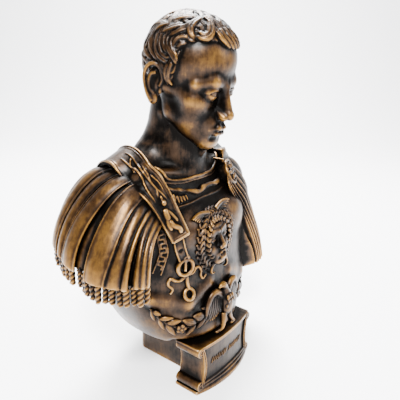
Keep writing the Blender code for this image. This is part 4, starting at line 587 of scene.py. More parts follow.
def necklineZ(p):
    # Where the armour ends: a scoop across the chest that rises over the shoulders.
    side = np.abs(p[..., 0])
    return 167.0 + 0.012 * np.maximum(side - 22.0, 0) ** 2 + 0.45 * np.maximum(p[..., 1] + 4.0, 0)


def armourField(p):
    d = bodyField(p) - armourThickness
    return -join(-d, necklineZ(p) - p[..., 2], 1.0)


def flatFoot(p, d):
    # the underside is level, and lies higher in front, over the plaque
    floor = blockTop + 5.5 * smooth((-8.0 - p[..., 1]) / 8.0)
    return -join(-d, p[..., 2] - floor, 5.0)


def torsoField(p):
    return flatFoot(p, join(bodyField(p), armourField(p), 0.8))


def cuirassField(p):
    return flatFoot(p, armourField(p))


def skinField(p):
    # neck and chest, down to where the armour hides them
    return np.maximum(bodyField(p), 150.0 - p[..., 2])


def domePatch(tops, hems, lifts, drops):
    # A shoulder drape from a top line to a hem: place(share round, share down) gives points.

    def place(around, down):
        around, down = np.broadcast_arrays(np.asarray(around, float), np.asarray(down, float))
        shape = around.shape
        a = through(tops, 81)
        b = through(hems, 81)
        at = np.linspace(0, 1, 81)
        flat = around.ravel()
        top, hem = sampled(flat, at, a), sampled(flat, at, b)
        reach = hem - top
        reach[:, 2] = 0.0
        lift = np.interp(flat, np.linspace(0, 1, len(lifts)), lifts)[:, None]
        drop = np.interp(flat, np.linspace(0, 1, len(drops)), drops)[:, None]
        start = unit(reach) * lift
        stop = np.array([0.0, 0.0, -1.0]) * drop + 0.15 * reach
        t = down.ravel()[:, None]
        p = (
            top * (2 * t**3 - 3 * t**2 + 1)
            + hem * (3 * t**2 - 2 * t**3)
            + start * (t**3 - 2 * t**2 + t)
            + stop * (t**3 - t**2)
        )
        return p.reshape(shape + (3,))

    return place


def patchNormal(place, around, down, away):
    e = 0.004
    du = place(around + e, down) - place(around - e, down)
    dv = place(around, down + e) - place(around, down - e)
    n = unit(np.cross(du, dv))
    return n * np.sign(((place(around, down) - away) * n).sum())


# how far the cape swings out at the top and drops at the hem, and how thick a strip is
capeSizes = {"spring": (44, 46, 50), "fall": (62, 64, 66), "strip": 2.4}
capeTops = (
    (-40, 62, 165), (-52, 50, 181), (-57, 32, 186), (-58, 13, 183), (-57, 0, 174), (-54, -8, 162),
    (-52, -14, 150),
)
capeHems = (
    (-58, 73, 137), (-81, 70, 132), (-96, 53, 126), (-101, 30, 120), (-101, 7, 116),
    (-94, -13, 115), (-79, -26, 116),
)
armHeart = np.array([-52.0, 22.0, 128.0])


# dark valleys between strips: the share where each runs and its half width
capeValleys = ((0.562, 0.035), (0.884, 0.016))


def capeCore(place, columns, rows):
    # The filled form under the leather strips, closed inside the torso.
    around = np.linspace(0, 0.965, columns)
    down = np.linspace(0.0, 1.0, rows)
    down, around = np.meshgrid(down, around, indexing="ij")
    depth = np.full(around.shape, 1.2)
    for middle, half in capeValleys:
        depth += 2.6 * smooth(1 - np.abs(around - middle) / half) * smooth(down * 2.5 - 0.6)
    outer = place(around, down) - patchNormal(place, around, down, armHeart) * depth[..., None]
    z = outer[:, :, 2].mean(1)
    inner = [xyz(x, y, z)[:, None] for x, y in ((-50, 2), (-40, 45))]
    return ringsShell(np.concatenate([outer, *inner], axis=1))


# each leather strip: the shares of its two edges at four heights from top to hem, and its lift
stripPlan = (
    ((0.004, 0.004, 0.004, 0.004), (0.095, 0.095, 0.100, 0.100), 1.0),
    ((0.101, 0.101, 0.106, 0.106), (0.200, 0.205, 0.210, 0.212), 0.3),
    ((0.206, 0.211, 0.216, 0.218), (0.385, 0.338, 0.325, 0.352), 1.0),
    ((0.391, 0.345, 0.332, 0.358), (0.470, 0.425, 0.403, 0.418), 0.2),
    ((0.480, 0.440, 0.414, 0.426), (0.570, 0.543, 0.522, 0.535), 1.6),
    ((0.585, 0.583, 0.597, 0.613), (0.712, 0.735, 0.754, 0.739), 1.9),
    ((0.708, 0.731, 0.750, 0.735), (0.797, 0.825, 0.842, 0.838), 0.5),
    ((0.793, 0.821, 0.838, 0.834), (0.829, 0.857, 0.870, 0.870), 2.0),
    ((0.830, 0.858, 0.893, 0.900), (0.895, 0.917, 0.932, 0.938), 1.0),
    ((0.891, 0.913, 0.928, 0.934), (0.945, 0.960, 0.968, 0.971), 1.8),
    ((0.941, 0.956, 0.964, 0.967), (0.990, 0.996, 0.998, 0.998), 0.8),
)


def stripLift(wide, lift, across, down):
    # how far a strip stands off the drape: crowned in the middle, with a raised lip at each side
    crown = 1.7 * (1 - across**2) * smooth(down * 3)
    lip = np.minimum(12 * wide, 0.8) * smooth((np.abs(across) - 0.80) / 0.12)
    return lift * smooth(down * 2.5 + 0.2) + crown + lip


def capeStrips(place, thickness, sides, steps):
    # Leather strips fanned over the shoulder.
    shells = []
    angle = fullTurn(sides)
    c = np.sign(np.cos(angle)) * np.abs(np.cos(angle)) ** 0.5
    s = np.sign(np.sin(angle)) * np.abs(np.sin(angle)) ** 0.5
    down, across = np.meshgrid(np.linspace(0.0, 1.0, steps), c, indexing="ij")
    for left, right, rise in stripPlan:
        low, high = through(left, steps)[:, None], through(right, steps)[:, None]
        around = (low + high) / 2 + (high - low) / 2 * across
        normal = patchNormal(place, around, down, armHeart)
        lift = stripLift(high - low, rise, across, down) + thickness / 2 * s[None]
        shells.append(ringsShell(place(around, down) + normal * lift[..., None]))
    return shells


def cordTops(place, count):
    # Where the fringe hangs under the strips. Cords between two strips hang further in.
    points = []
    for k in range(count):
        share = (k + 0.5) / count
        normal = patchNormal(place, np.array(share), np.array(0.97), armHeart)
        lift = -2.0
        for left, right, rise in stripPlan:
            if left[-1] - 0.004 < share < right[-1] + 0.004:
                lift = rise - 0.4
        points.append(place(share, 0.985) + normal * lift + np.array([0, 0, 2.0]))
    return np.array(points)


# the same for the cloak, and how deep its folds are
cloakSizes = {
    "spring": (60, 84, 84, 80, 60, 20, -16), "fall": (100, 120, 120, 120, 110, 90, 80), "fold": 3.4,
}
cloakTops = (
    (30, 60, 170), (36, 46, 192), (36, 22, 193), (36, 2, 184), (34, -7, 178), (29, -13, 172),
    (24, -18, 166),
)
cloakHems = (
    (20, 72, 70), (62, 74, 72), (94, 56, 76), (102, 26, 78), (97, 0, 78), (82, -20, 78),
    (60, -27, 80),
)
cloakHeart = np.array([40.0, 24.0, 120.0])


def cloakShell(place, columns, rows, depth):
    # The cloak over the left shoulder, with folds that gather at the brooch.
    around = np.linspace(0, 1, columns)
    down = np.linspace(0, 1, rows)
    down, around = np.meshgrid(down, around, indexing="ij")
    outer = place(around, down)
    normal = patchNormal(place, np.clip(around, 0.01, 0.99), np.clip(down, 0.02, 0.98), cloakHeart)
    # the cloth rests on the shoulder where its own curve would cut in
    free = 1 - smooth((around - 0.75) / 0.2)
    for _ in range(2):
        short = 2.0 - bodyField(outer)
        outer = outer + normal * (0.5 * free * (short + np.sqrt(short**2 + 3.0)))[..., None]
    wave = np.cos(
        2 * math.pi * (7.0 * around + 4.5 * around**6 + 0.30 * np.sin(3.0 * down + 5 * around))
    )
    crest = np.sign(wave) * np.abs(wave) ** 0.75
    outer = outer + normal * (2.0 + depth * crest * (0.25 + 0.75 * smooth(down * 1.6)))[..., None]
    z = outer[:, :, 2].mean(1)
    inner = [xyz(x, y, z)[:, None] for x, y in ((30, -12), (20, 45))]
    return ringsShell(np.concatenate([outer, *inner], axis=1))


strap = {
    "thickness": 2.4, "rim": 1.0, "tabHalf": 4.3, "ringRadius": 6.6, "ringTube": 1.6,
    "hole": (-45.2, -24.8, 130.7),
}
strapRun = (
    (-34, 68, 100), (-36, 67, 130), (-42, 62, 165), (-49, 48, 190), (-53, 28, 196), (-54, 11, 188),
    (-53, -3.5, 177), (-50, -10, 166), (-48, -15, 157), (-46, -20, 148), (-44.3, -24, 140.2),
)
strapHalf = (9.5, 10.0, 10.5, 11.0, 11.5, 11.5, 10.8, 10.0, 9.0, 8.0, 7.4)
tabRun = ((-46.2, -23, 141), (-45.5, -24.5, 134), (-44.3, -25.2, 129), (-41.1, -25.5, 121))
strapVeins = (
    (
        (-57, 23, 195), (-58, 14, 192), (-59, 5, 189), (-59, -1, 183), (-58, -6, 175),
        (-56, -10, 168),
    ),
    (
        (-50, 24, 196), (-51, 15, 193), (-56, 4, 190), (-56, -2, 185), (-53, -6, 179),
        (-49, -10, 173), (-46, -13, 168),
    ),
    ((-54, 4, 192), (-54, -1, 187), (-54, -4, 182), (-52, -8, 177), (-53, -11, 171)),
    ((-52, 17, 194), (-57, 13, 191), (-60, 7, 188)),
    ((-52, -2, 186), (-48, -4, 181), (-47, -10, 175)),
)
# the small draped figure: half width, height and run of each limb
strapFigure = (
    (1.1, 1.2, ((-51, -11, 172), (-51, -12, 169), (-51, -13, 166))),
    (2.6, 2.0, ((-51, -15, 163), (-51, -16, 158), (-50.5, -18, 154))),
    (2.1, 1.7, ((-50, -19, 155), (-49, -21, 151), (-45, -24, 148), (-45, -26, 144.5))),
    (1.6, 1.4, ((-51.5, -17, 157), (-52, -19, 152), (-50, -21, 147))),
    (1.3, 1.2, ((-50, -16, 162), (-47, -19, 158), (-44.5, -22, 153))),
)


def onTorso(torso, points, count, lift):
    path, normal = torso.land(through(points, count))
    return path + normal * lift, normal


def easedRun(values, passes):
    values = values.copy()
    for _ in range(passes):
        values[1:-1] = (values[:-2] + 2 * values[1:-1] + values[2:]) / 4
    return values


def onStrap(points, count, low, high):
    # a run that keeps its own course, between two limits above the armour without its neckline step
    form = Surface(lambda p: bodyField(p) - armourThickness, torsoHeart, 190)
    p = through(points, count)
    passes = max(2, count // 2)
    for _ in range(3):
        normal = unit(easedRun(form.normal(p, 3.0), passes))
        d = form.field(p)
        p = p + normal * easedRun(np.clip(d, low, high) - d, 3)[:, None]
    return p, normal


def strapShells(steps, sides):
    thick, rim = strap["thickness"], strap["rim"]
    half = through(strapHalf, steps)
    path, normal = onStrap(strapRun, steps, 0.3, 2.6)
    side = unit(np.cross(unit(np.gradient(path, axis=0)), normal))
    shells = [band(path, half, thick, normal, sides, 6.0)]
    for edge in (-1, 1):
        for share, high in ((0.93, 1.0), (0.76, 0.45)):
            run = path + side * (edge * share * half)[:, None] + normal * (thick - 0.15)
            shells.append(band(run, rim * high, rim * high, normal, 10))
    across = np.linspace(-1, 1, 6)[:, None]
    for back, high in ((0, 1.0), (-3, 0.5)):
        end = path[back - 1] + side[-1] * across * (half[-1] - 0.6) + normal[-1] * (thick - 0.15)
        shells.append(band(end, rim * high, rim * high, normal[-1], 10))

    def laid(run, count, lift):
        # the run's nearest course on top of the strap
        p = through(run, count)
        near = np.linalg.norm(p[:, None] - path[None], axis=2).argmin(1)
        across, up = side[near], normal[near]
        ahead = p - path[near]
        off = np.clip((ahead * across).sum(1), -0.62 * half[near], 0.62 * half[near])
        ahead -= (ahead * up).sum(1)[:, None] * up + (ahead * across).sum(1)[:, None] * across
        return path[near] + ahead + across * off[:, None] + up * (thick + lift), up

    for k, run in enumerate(strapVeins):
        at, out = laid(run, 30, 0.0)
        taper = tapered(30)
        shells.append(band(at, (0.85 - 0.05 * k) * taper, 0.9 * taper, out, 10))
    for wide, high, run in strapFigure:
        at, out = laid(run, 16, 0.3)
        taper = tapered(16)
        shells.append(band(at, wide * taper, high * taper, out, 14))
    at, out = laid(((-50.5, -13, 166.5), (-50.4, -13.1, 166)), 4, 0.8)
    shells.append(blob(at[0], (2.1, 2.5, 1.9), basis(out[0]), 20))
    path, normal = onStrap(tabRun, 16, 0.3, 0.3)
    side = unit(np.cross(unit(np.gradient(path, axis=0)), normal))
    shells.append(band(path, strap["tabHalf"], thick * 0.75, normal, sides, 6.0))
    for edge in (-1, 1):
        run = path + side * edge * (strap["tabHalf"] - 0.7) + normal * (thick * 0.75 - 0.1)
        shells.append(band(run, 0.8, 0.9, normal, 10))
    return shells


def ringShell(torso, centre, radius, thick, count, sides, notch=0.0):
    # a ring that lies on the torso, pinched in the middle where the strap ends pull
    at, normal = torso.land(np.array([centre]))
    frame = basis(normal[0])
    angle = fullTurn(count)
    reach = radius * (1 - notch * np.cos(2 * angle))
    path = at[0] + normal[0] * thick * 1.1
    path = path + reach[:, None] * (
        np.cos(angle)[:, None] * frame[:, 0] + np.sin(angle)[:, None] * frame[:, 1]
    )
    tube = fullTurn(sides)
    out = unit(path - path.mean(0))
    ring = path[:, None] + thick * (
        np.cos(tube)[None, :, None] * out[:, None] + np.sin(tube)[None, :, None] * normal[0]
    )
    points = ring.reshape(-1, 3)
    i, j = np.meshgrid(np.arange(count), np.arange(sides), indexing="ij")
    a, b = i * sides + j, i * sides + (j + 1) % sides
    c, d = ((i + 1) % count) * sides + j, ((i + 1) % count) * sides + (j + 1) % sides
    a, b, c, d = (corner.ravel() for corner in (a, b, c, d))
    faces = np.vstack([np.stack([a, b, d], 1), np.stack([a, d, c], 1)])
    return points, faces


ribbonRuns = (
    (
        (-40, -25.5, 106), (-44.2, -24.3, 103.7), (-48, -22.5, 104.3), (-51.1, -20.7, 106.7),
        (-53, -19.6, 104.6), (-52.9, -19.8, 101.2), (-51, -21.1, 98.7), (-50.4, -21.6, 96.5),
        (-52.2, -20.9, 93.6),
    ),
    (
        (-37, -27, 107), (-32.7, -27.9, 107.6), (-30.2, -28.4, 110.4), (-27.1, -28.9, 110.6),
        (-24.5, -29.5, 106.6), (-25.0, -29.8, 102.4), (-22.8, -30.4, 99.0), (-19.0, -30.7, 101.2),
    ),
)


def buckleShells(torso, count, sides):
    shells = [
        ringShell(torso, (-40.3, -25.4, 114.6), strap["ringRadius"], strap["ringTube"], count, sides),
        ringShell(torso, (-38, -28, 90.1), 4.3, 1.45, count, sides, 0.05),
        ringShell(torso, (-39.8, -26, 122.2), 2.2, 1.3, count, sides),
    ]
    for run, wide, high, lift in (
        (((-39.1, -26.1, 108.5), (-38.6, -26.7, 100.0), (-37.4, -27.6, 94.6)), 1.5, 1.4, 1.0),
        (((-40.2, -25, 122), (-40.4, -25.4, 116), (-40.6, -25.6, 111.5)), 1.3, 1.4, 1.6),
    ):
        path, normal = onTorso(torso, run, 12, lift)
        shells.append(band(path, wide, high, normal, sides))
    for run in ribbonRuns:
        path, normal = onTorso(torso, run, 48, 0.5)
        t = np.linspace(0, 1, 48)
        shells.append(band(path, 1.5 - 0.6 * t, 1.5 - 0.4 * t, normal, sides))
    return shells


def reliefChart(torso, centre, lift):
    # maps (across, up, out) near a place on the chest to points on the torso
    at, normal = torso.land(np.array([centre]))
    frame = basis(normal[0])

    def place(points):
        p = np.asarray(points, float)
        flat = at[0] + p[..., :1] * frame[:, 0] + p[..., 1:2] * frame[:, 1]
        ground, _ = torso.land(flat)
        return ground + (p[..., 2:] + lift) * frame[:, 2]

    return place, frame


gorgon = {"centre": (-5.5, -28.0, 129.0), "scale": 0.47, "lean": 4.0, "flat": 0.82}


def gorgonField(p):
    # the plain face with an open mouth, a knit brow and full cheeks
    h = xyz(np.abs(p[..., 0]), p[..., 1], p[..., 2])
    d = headField(p)
    d = join(d, egg(h, (13, -31, -20), (7, 6, 8)), 6)
    d = join(d, rod(h, (2.5, -38, 9), (13, -35, 12), 2.6, 2.2), 3)
    d = join(d, egg(h, (0, -42.5, -37.5), (6.5, 3.2, 2.2)), 2)
    d = carve(d, egg(h, (0, -44.5, -31.5), (6.8, 8.0, 3.8)), 1.2)
    return -join(-d, 20.0 - h[..., 2], 8)


def maskShells(torso, rows, columns, curls, steps, sides):
    # a gorgon's head in high relief: face, two small wings and a ruff of wavy curls
    place, frame = reliefChart(torso, np.array(gorgon["centre"]), 0.0)
    lean = math.radians(gorgon["lean"])
    s = gorgon["scale"]
    spin = np.array([[math.cos(lean), math.sin(lean)], [-math.sin(lean), math.cos(lean)]])

    def leaning(flat):
        flat = np.array(flat, float)
        flat[..., :2] = flat[..., :2] @ spin
        return place(flat)

    at = place(np.array([0.0, 0.0, 0.0]))
    face = Surface(gorgonField, headHeart, 75)
    points, faces = face.shell(rows, columns, 0.5)
    local = (points - np.array([0.0, -22.0, -6.0])) * s
    flat = xyz(local[:, 0] * 1.32, local[:, 2] * 1.05) @ spin
    out = -local[:, 1] * gorgon["flat"]
    points = at + flat[:, :1] * frame[:, 0] + flat[:, 1:] * frame[:, 1] + out[:, None] * frame[:, 2]
    shells = [(points, faces)]
    rng = np.random.default_rng(8)
    t = np.linspace(0, 1, steps)
    taper = np.sqrt(np.maximum(1 - np.abs(2 * t - 0.9) ** 4 / 2.2, 0.05))
    rounds = ((0.78, 1.20, curls - 6, 4.4), (1.06, 1.50, curls, 2.2))  # from, to, number, height
    for ring, (inner, outer, count, high) in enumerate(rounds):
        for k in range(count):
            a = 2 * math.pi * (k + 0.5 * ring) / count
            if math.sin(a) < -0.86 and ring > 0:
                continue
            reach = inner + (outer - inner) * t + rng.uniform(-0.03, 0.03)
            wave = 0.09 * np.sin(2 * math.pi * (1.5 * t + 0.4 * ring + rng.uniform(-0.04, 0.04)))
            sway = a + wave - 0.10 * math.cos(a) * t
            rise = high * (1 - 0.75 * t) + 0.6 * np.sin(math.pi * 2 * t)
            run = leaning(xyz(17.0 * reach * np.cos(sway), 19.5 * reach * np.sin(sway) + 0.5, rise))
            shells.append(band(run, 1.35 * taper, 1.5 * taper, frame[:, 2], sides, 2.0, 2, 0.35))
    for side in (-1, 1):
        for feather in range(4):
            droop = 25.5 + 4.6 * np.sin(2.3 * t) - 1.5 * t - 2.3 * feather * (0.4 + 0.6 * t)
            run = xyz(side * (6 + (22 - 2.6 * feather) * t), droop, 3.2 - 0.7 * feather)
            shells.append(band(leaning(run), 1.7 * np.sqrt(1.02 - t**3), 1.4, frame[:, 2], sides))
        knot = xyz(side * (2 + 9 * np.sin(2.6 * t)), -20.5 - 7 * t + 2.0 * np.sin(6 * t), 3.4 - 1.5 * t)
        shells.append(band(leaning(knot), 1.5 * np.sqrt(1.02 - t), 1.4, frame[:, 2], sides))
    return shells


def leaf(start, end, width, height, normal, sides, steps=12):
    # a pointed leaf with a rib down its middle
    t = np.linspace(0, 1, steps)
    reach = np.asarray(end) - np.asarray(start)
    path = np.asarray(start) + t[:, None] * reach + np.outer(np.sin(math.pi * t), normal) * 0.8
    shape = width * np.sin(math.pi * np.clip(0.04 + 0.93 * t**0.85, 0, 1)) ** 0.8
    blade = band(path, shape, height * (0.35 + 0.65 * shape / width), normal, sides)
    rib = band(path + normal * height * 0.8 * (shape / width)[:, None], 0.45, 0.6, normal, 8)
    return [blade, rib]


# each leaf of the festoon: half width, base and tip, on the bust's right of the eagle
festoonLeaves = (
    (1.8, (-62.0, -10.3, 80.9), (-59.6, -11.5, 69.7)),
    (2.4, (-61.5, -11.0, 80.0), (-56.4, -15.4, 76.4)),
    (1.9, (-57.6, -14.0, 72.1), (-53.1, -15.7, 60.0)),
    (2.4, (-57.6, -14.0, 72.1), (-49.0, -21.9, 72.4)),
    (2.6, (-53.1, -17.8, 66.8), (-45.2, -21.0, 53.6)),
    (3.2, (-52.9, -18.2, 67.3), (-43.6, -25.4, 68.3)),
    (3.4, (-32.0, -31.0, 61.8), (-43.0, -26.1, 68.0)),
    (2.4, (-32.5, -31.0, 61.0), (-39.0, -27.0, 51.8)),
    (4.0, (-24.3, -33.6, 65.1), (-34.8, -30.4, 68.7)),
    (2.7, (-23.2, -33.9, 64.7), (-31.2, -31.6, 55.6)),
    (2.5, (-15.0, -34.8, 71.4), (-26.6, -32.9, 72.6)),
    (2.9, (-13.9, -35.1, 69.1), (-24.4, -33.8, 56.8)),
)
festoonStem = (
    (-62.5, -9.8, 81.8), (-60.3, -11.8, 77.1), (-57.6, -14.0, 72.1), (-54.9, -16.3, 68.5),
    (-51.0, -19.4, 65.0), (-43.2, -25.0, 60.1), (-37.0, -28.5, 60.0), (-32.7, -31.0, 61.8),
    (-28.2, -32.6, 62.9), (-23.2, -33.8, 65.6), (-17.5, -34.6, 69.7), (-12.4, -34.9, 73.0),
)
eagleMiddle = 1.0


def festoonShells(torso, side, sides):
    # half of a laurel festoon, from the flank to the eagle, with a rosette at its lowest

    def turned(points):
        p = np.array(points, float)
        if side > 0:
            p[..., 0] = 2 * eagleMiddle - p[..., 0]
        return p

    path, normal = onTorso(torso, turned(festoonStem), 60, 0.6)
    shells = [band(path, 0.9, 0.9, normal, 8)]
    for wide, base, tip in festoonLeaves:
        ends, normal = torso.land(turned((base, tip)))
        lift = normal[0] * 0.8
        shells += leaf(ends[0] + lift, ends[1] + lift * 0.9, wide, 1.7, normal[0], sides)
    middle, normal = torso.land(turned((festoonStem[5],)))
    middle, normal = middle[0], normal[0]
    frame = basis(normal)
    for a in np.arange(5) * 2 * math.pi / 5:
        petal = middle + normal * 1.4 + 2.5 * (math.cos(a) * frame[:, 0] + math.sin(a) * frame[:, 1])
        shells.append(blob(petal, (2.0, 2.0, 1.7), frame, 18))
    shells.append(blob(middle + normal * 2.4, (1.5, 1.5, 1.5), frame, 16))
    return shells


def eagleShells(torso, steps, sides):
    # an eagle with arched wings that stands over the plaque and looks to its right
    place, frame = reliefChart(torso, np.array([eagleMiddle, -34.0, 68.0]), 0.0)
    out = frame[:, 2]
    shells = []

    def limb(points, widths, heights, ridges=0):
        path = place(through(points, steps))
        shells.append(
            band(path, through(widths, steps), through(heights, steps), out, sides, 2.0, ridges, 0.3)
        )

    limb(
        ((1, -10, 3), (1, -4, 4.6), (0.5, 4, 5.4), (-0.5, 11, 5.0), (-2, 16, 5.0)),
        (2.6, 5.6, 6.2, 4.6, 3.0), (2.2, 4.2, 4.8, 4.0, 3.0),
    )
    limb(
        ((-0.5, 12, 5), (-2, 17, 5.4), (-4.5, 20, 6), (-7.5, 20.5, 6), (-10, 19.5, 5.4)),
        (3.6, 3.0, 3.0, 2.0, 0.6), (3.2, 2.8, 2.8, 1.8, 0.7),
    )
    for row in range(5):
        for k in (-1, 0, 1):
            spot = place((0.4 + 2.9 * k + 1.4 * (row % 2), 9 - 3.8 * row, 9.4 - 0.35 * row * row))
            shells.append(blob(spot, (1.6, 2.4, 1.5), frame, 12))
    for side in (-1, 1):
        limb(
            (
                (side * 4, 9, 3.5), (side * 10, 15.5, 3.6), (side * 16.5, 15.5, 3.2),
                (side * 21, 9, 2.8), (side * 22.5, 1, 2.2),
            ),
            (2.6, 3.0, 2.8, 2.4, 1.6), (2.4, 2.6, 2.4, 2.0, 1.4),
        )
        for feather in range(7):
            share = feather / 6
            root = (side * (5 + 15 * share), 11 + 2.5 * math.sin(3 * share), 2.2)
            middle = (side * (6.5 + 15.5 * share), 3, 2.2)
            tip = (side * (8 + 15.0 * share), -5.0 + 1.5 * share - 2.5 * math.sin(3.1 * share), 1.4)
            limb((root, middle, tip), (1.5, 1.7, 0.7), (1.6, 1.5, 0.8))
        foot = (-9.0, -24.5) if side < 0 else (11.5, -25.0)
        limb(
            (
                (side * 3.4 + 0.6, -6, 4), (side * 4.6 + 0.5, -12, 4.4),
                (foot[0] * 0.75, -18, 4.2), (foot[0], foot[1] + 3, 4),
            ),
            (3.0, 2.4, 1.5, 1.4), (2.8, 2.2, 1.5, 1.4),
        )
        for claw in (-1, 0, 1):
            limb(
                (
                    (foot[0], foot[1] + 3, 4), (foot[0] + 1.9 * claw, foot[1], 5.2),
                    (foot[0] + 2.2 * claw, foot[1] - 2.2, 4.2),
                ),
                (1.5, 1.4, 0.7), (1.6, 1.6, 0.9),
            )
    for feather in (-1, 0, 1):
        limb(
            ((1, -9, 2.4), (1 + 1.6 * feather, -14, 2), (1 + 2.6 * feather, -18.5, 1.5)),
            (1.6, 1.7, 1.0), (1.6, 1.4, 1.0),
        )
    return shells


brooch = {"centre": (37.0, -11.5, 172.0), "facing": (0.34, -0.84, 0.42), "radius": 11.0}


def broochShells(sides):
    # the round brooch that pins the cloak: a rimmed disc with a rosette
    at = np.array(brooch["centre"])
    normal = unit(np.array(brooch["facing"]))
    radius = brooch["radius"]
    frame = basis(normal)
    angle = fullTurn(72)
    circle = np.cos(angle)[:, None] * frame[:, 0] + np.sin(angle)[:, None] * frame[:, 1]
    profile = (
        (0.96, -6.0), (1.0, -0.5), (1.03, 1.4), (1.01, 2.4), (0.94, 2.9), (0.86, 2.5),
        (0.82, 1.3), (0.45, 1.6), (0.05, 2.0),
    )
    rings = np.stack([at + circle * radius * r + normal * h for r, h in profile])
    shells = [ringsShell(rings)]
    for a in np.arange(6) * math.pi / 3:
        heading = math.cos(a) * frame[:, 0] + math.sin(a) * frame[:, 1]
        root, tip = at + heading * 1.6 + normal * 2.0, at + heading * radius * 0.76 + normal * 1.8
        shells += leaf(root, tip, 1.9, 1.2, normal, sides)
    for a in (np.arange(6) + 0.5) * math.pi / 3:
        heading = math.cos(a) * frame[:, 0] + math.sin(a) * frame[:, 1]
        shells.append(blob(at + heading * radius * 0.66 + normal * 1.8, (1.0, 1.0, 1.0), frame, 12))
    shells.append(blob(at + normal * 2.3, (2.0, 2.0, 1.7), frame, 20))
    return shells


# rolled edge, the fine line under it, and the two rings of the tunic: half width and lift
neckRuns = (
    (
        2.0, 0.6,
        (
            (-44, -4, 178), (-36, -7, 174), (-27.8, -9, 171.8), (-21.2, -10.6, 169.4),
            (-15.3, -12.9, 167.8), (-8.4, -14.5, 167.2), (-1.2, -13.1, 168.5), (7.6, -12.7, 169.4),
            (16.0, -13.8, 170.0), (26, -12, 172), (36, -8, 177),
        ),
    ),
    (
        0.7, 0.2,
        (
            (-44, -14.5, 161), (-37.0, -15.8, 161.2), (-24.0, -16.9, 161.3), (-11.0, -16.7, 162.0),
            (2.3, -16.8, 162.3), (16.8, -16.5, 163.2), (32, -14, 165),
        ),
    ),
    (
        1.3, 0.3,
        (
            (-42, 10, 191), (-39, 2, 186), (-33, -3.5, 182), (-22, -7, 180), (-10, -9, 179),
            (4, -9.5, 179), (18, -7.5, 180), (30, -2, 183), (38, 6, 188),
        ),
    ),
    (
        1.0, 0.2,
        (
            (-40, -2, 180.3), (-28.7, -5.7, 177.6), (-18, -8, 176.4), (0, -9.5, 175.8),
            (16, -8.5, 176.6), (28, -5, 178.5),
        ),
    ),
)
teethRuns = (
    ((-37.7, -10.4, 171.0), (-38.2, -13.5, 165.2)), ((-34.8, -11.9, 169.6), (-35.0, -14.7, 163.4)),
    ((-31.8, -12.6, 168.4), (-31.6, -14.8, 163.0)), ((-28.7, -12.9, 168.0), (-28.2, -15.0, 163.2)),
    ((-25.7, -13.1, 167.8), (-25.0, -15.2, 163.7)),
)
meander = {"width": 6.4, "unit": 7.0, "line": 0.75}
meanderRun = (
    (-55.5, -12.5, 160), (-56.6, -14.6, 149.5), (-56.4, -16.3, 139.5), (-55.6, -17.5, 130.8),
    (-57.4, -16.3, 122.2), (-60.2, -14.0, 111.5),
)
meanderUnit = ((0.0, -0.5), (0.0, 0.5), (0.5, 0.5), (0.5, -0.5), (1.0, -0.5))


def trimShells(torso, sides):
    # the edges and bands that are cast on the armour
    shells = []
    for k, (wide, lift, run) in enumerate(neckRuns):
        path, normal = onTorso(torso, run, 90, lift)
        t = np.linspace(0, 1, 90)
        ripple = 1.0 + (0.22 * np.sin(40 * t) * np.sin(9 * t) if k == 0 else 0.0)
        shells.append(band(path, wide * ripple, wide * 0.85 * ripple, normal, sides))
    for top, tip in teethRuns:
        path, normal = onTorso(torso, (top, tip), 8, 0.6)
        shells.append(band(path, np.array([1.2, 1.35, 1.4, 1.35, 1.2, 1.0, 0.7, 0.3]), 1.3, normal, 12))
    path, normal = onTorso(torso, meanderRun, 80, 0.0)
    along = unit(np.gradient(path, axis=0))
    side = np.cross(along, normal)
    length = np.concatenate([[0], np.cumsum(np.linalg.norm(np.diff(path, axis=0), axis=1))])

    def chart(u, v, lift):
        at, across, out = (sampled(u, length, values) for values in (path, side, normal))
        return at + across * v[:, None] + out * lift, out

    half = meander["width"] / 2
    for edge in (-1, 1):
        u = np.linspace(0.5, length[-1] - 0.5, 60)
        run, out = chart(u, np.full(60, edge * half), 0.35)
        shells.append(band(run, 0.6, 0.7, out, 8))
    for k in range(int(length[-1] / meander["unit"])):
        corners = np.array(meanderUnit)
        edges = [np.linspace(a, b, 5)[:-1] for a, b in zip(corners[:-1], corners[1:])]
        fine = np.concatenate(edges + [corners[-1:]])
        run, out = chart(1.0 + (k + fine[:, 0]) * meander["unit"], fine[:, 1] * half, 0.3)
        shells.append(band(run, meander["line"], 0.9, out, 8))
    return shells


def bake(obj):
    # the evaluated mesh takes the place of the modifiers
    bpy.context.view_layer.update()
    graph = bpy.context.evaluated_depsgraph_get()
    mesh = bpy.data.meshes.new_from_object(obj.evaluated_get(graph))
    obj.modifiers.clear()
    obj.data = mesh
    return mesh


def triangleCount(mesh):
    mesh.calc_loop_triangles()
    return len(mesh.loop_triangles)


def newObject(name, mesh):
    obj = bpy.data.objects.new(name, mesh)
    bpy.context.scene.collection.objects.link(obj)
    return obj


def sculpt(name, shells, passes=1):
    # overlapping shells are fused in fine voxels, then thinned
    voxel, triangles = fineness[name]
    obj = newObject(name, meshOf(name, shells))
    fuse = obj.modifiers.new("fuse", "REMESH")
    fuse.mode = "VOXEL"
    fuse.voxel_size = voxel * mm
    soften = obj.modifiers.new("soften", "SMOOTH")
    soften.factor = 0.4
    soften.iterations = passes
    count = triangleCount(bake(obj))
    if count > triangles:
        thin = obj.modifiers.new("thin", "DECIMATE")
        thin.ratio = triangles / count
        bake(obj)
    obj.data.polygons.foreach_set("use_smooth", [True] * len(obj.data.polygons))
    print(name, count, "->", triangleCount(obj.data))
    return obj


def makeHead():
    place = headPlace(head["height"], head["bow"], head["turn"])
    shells = [(place(points), faces) for points, faces in headShells(360, 480, 20, 36, 3)]
    return sculpt("head", shells + [Surface(skinField, (0, 20, 165), 130).shell(300, 420)], 2)


def makeStrap(torso):
    piece = sculpt("strap", strapShells(150, 40) + buckleShells(torso, 48, 16))
    dimple(piece.data, torso, strap["hole"], 1.7, 2.2)
    return piece


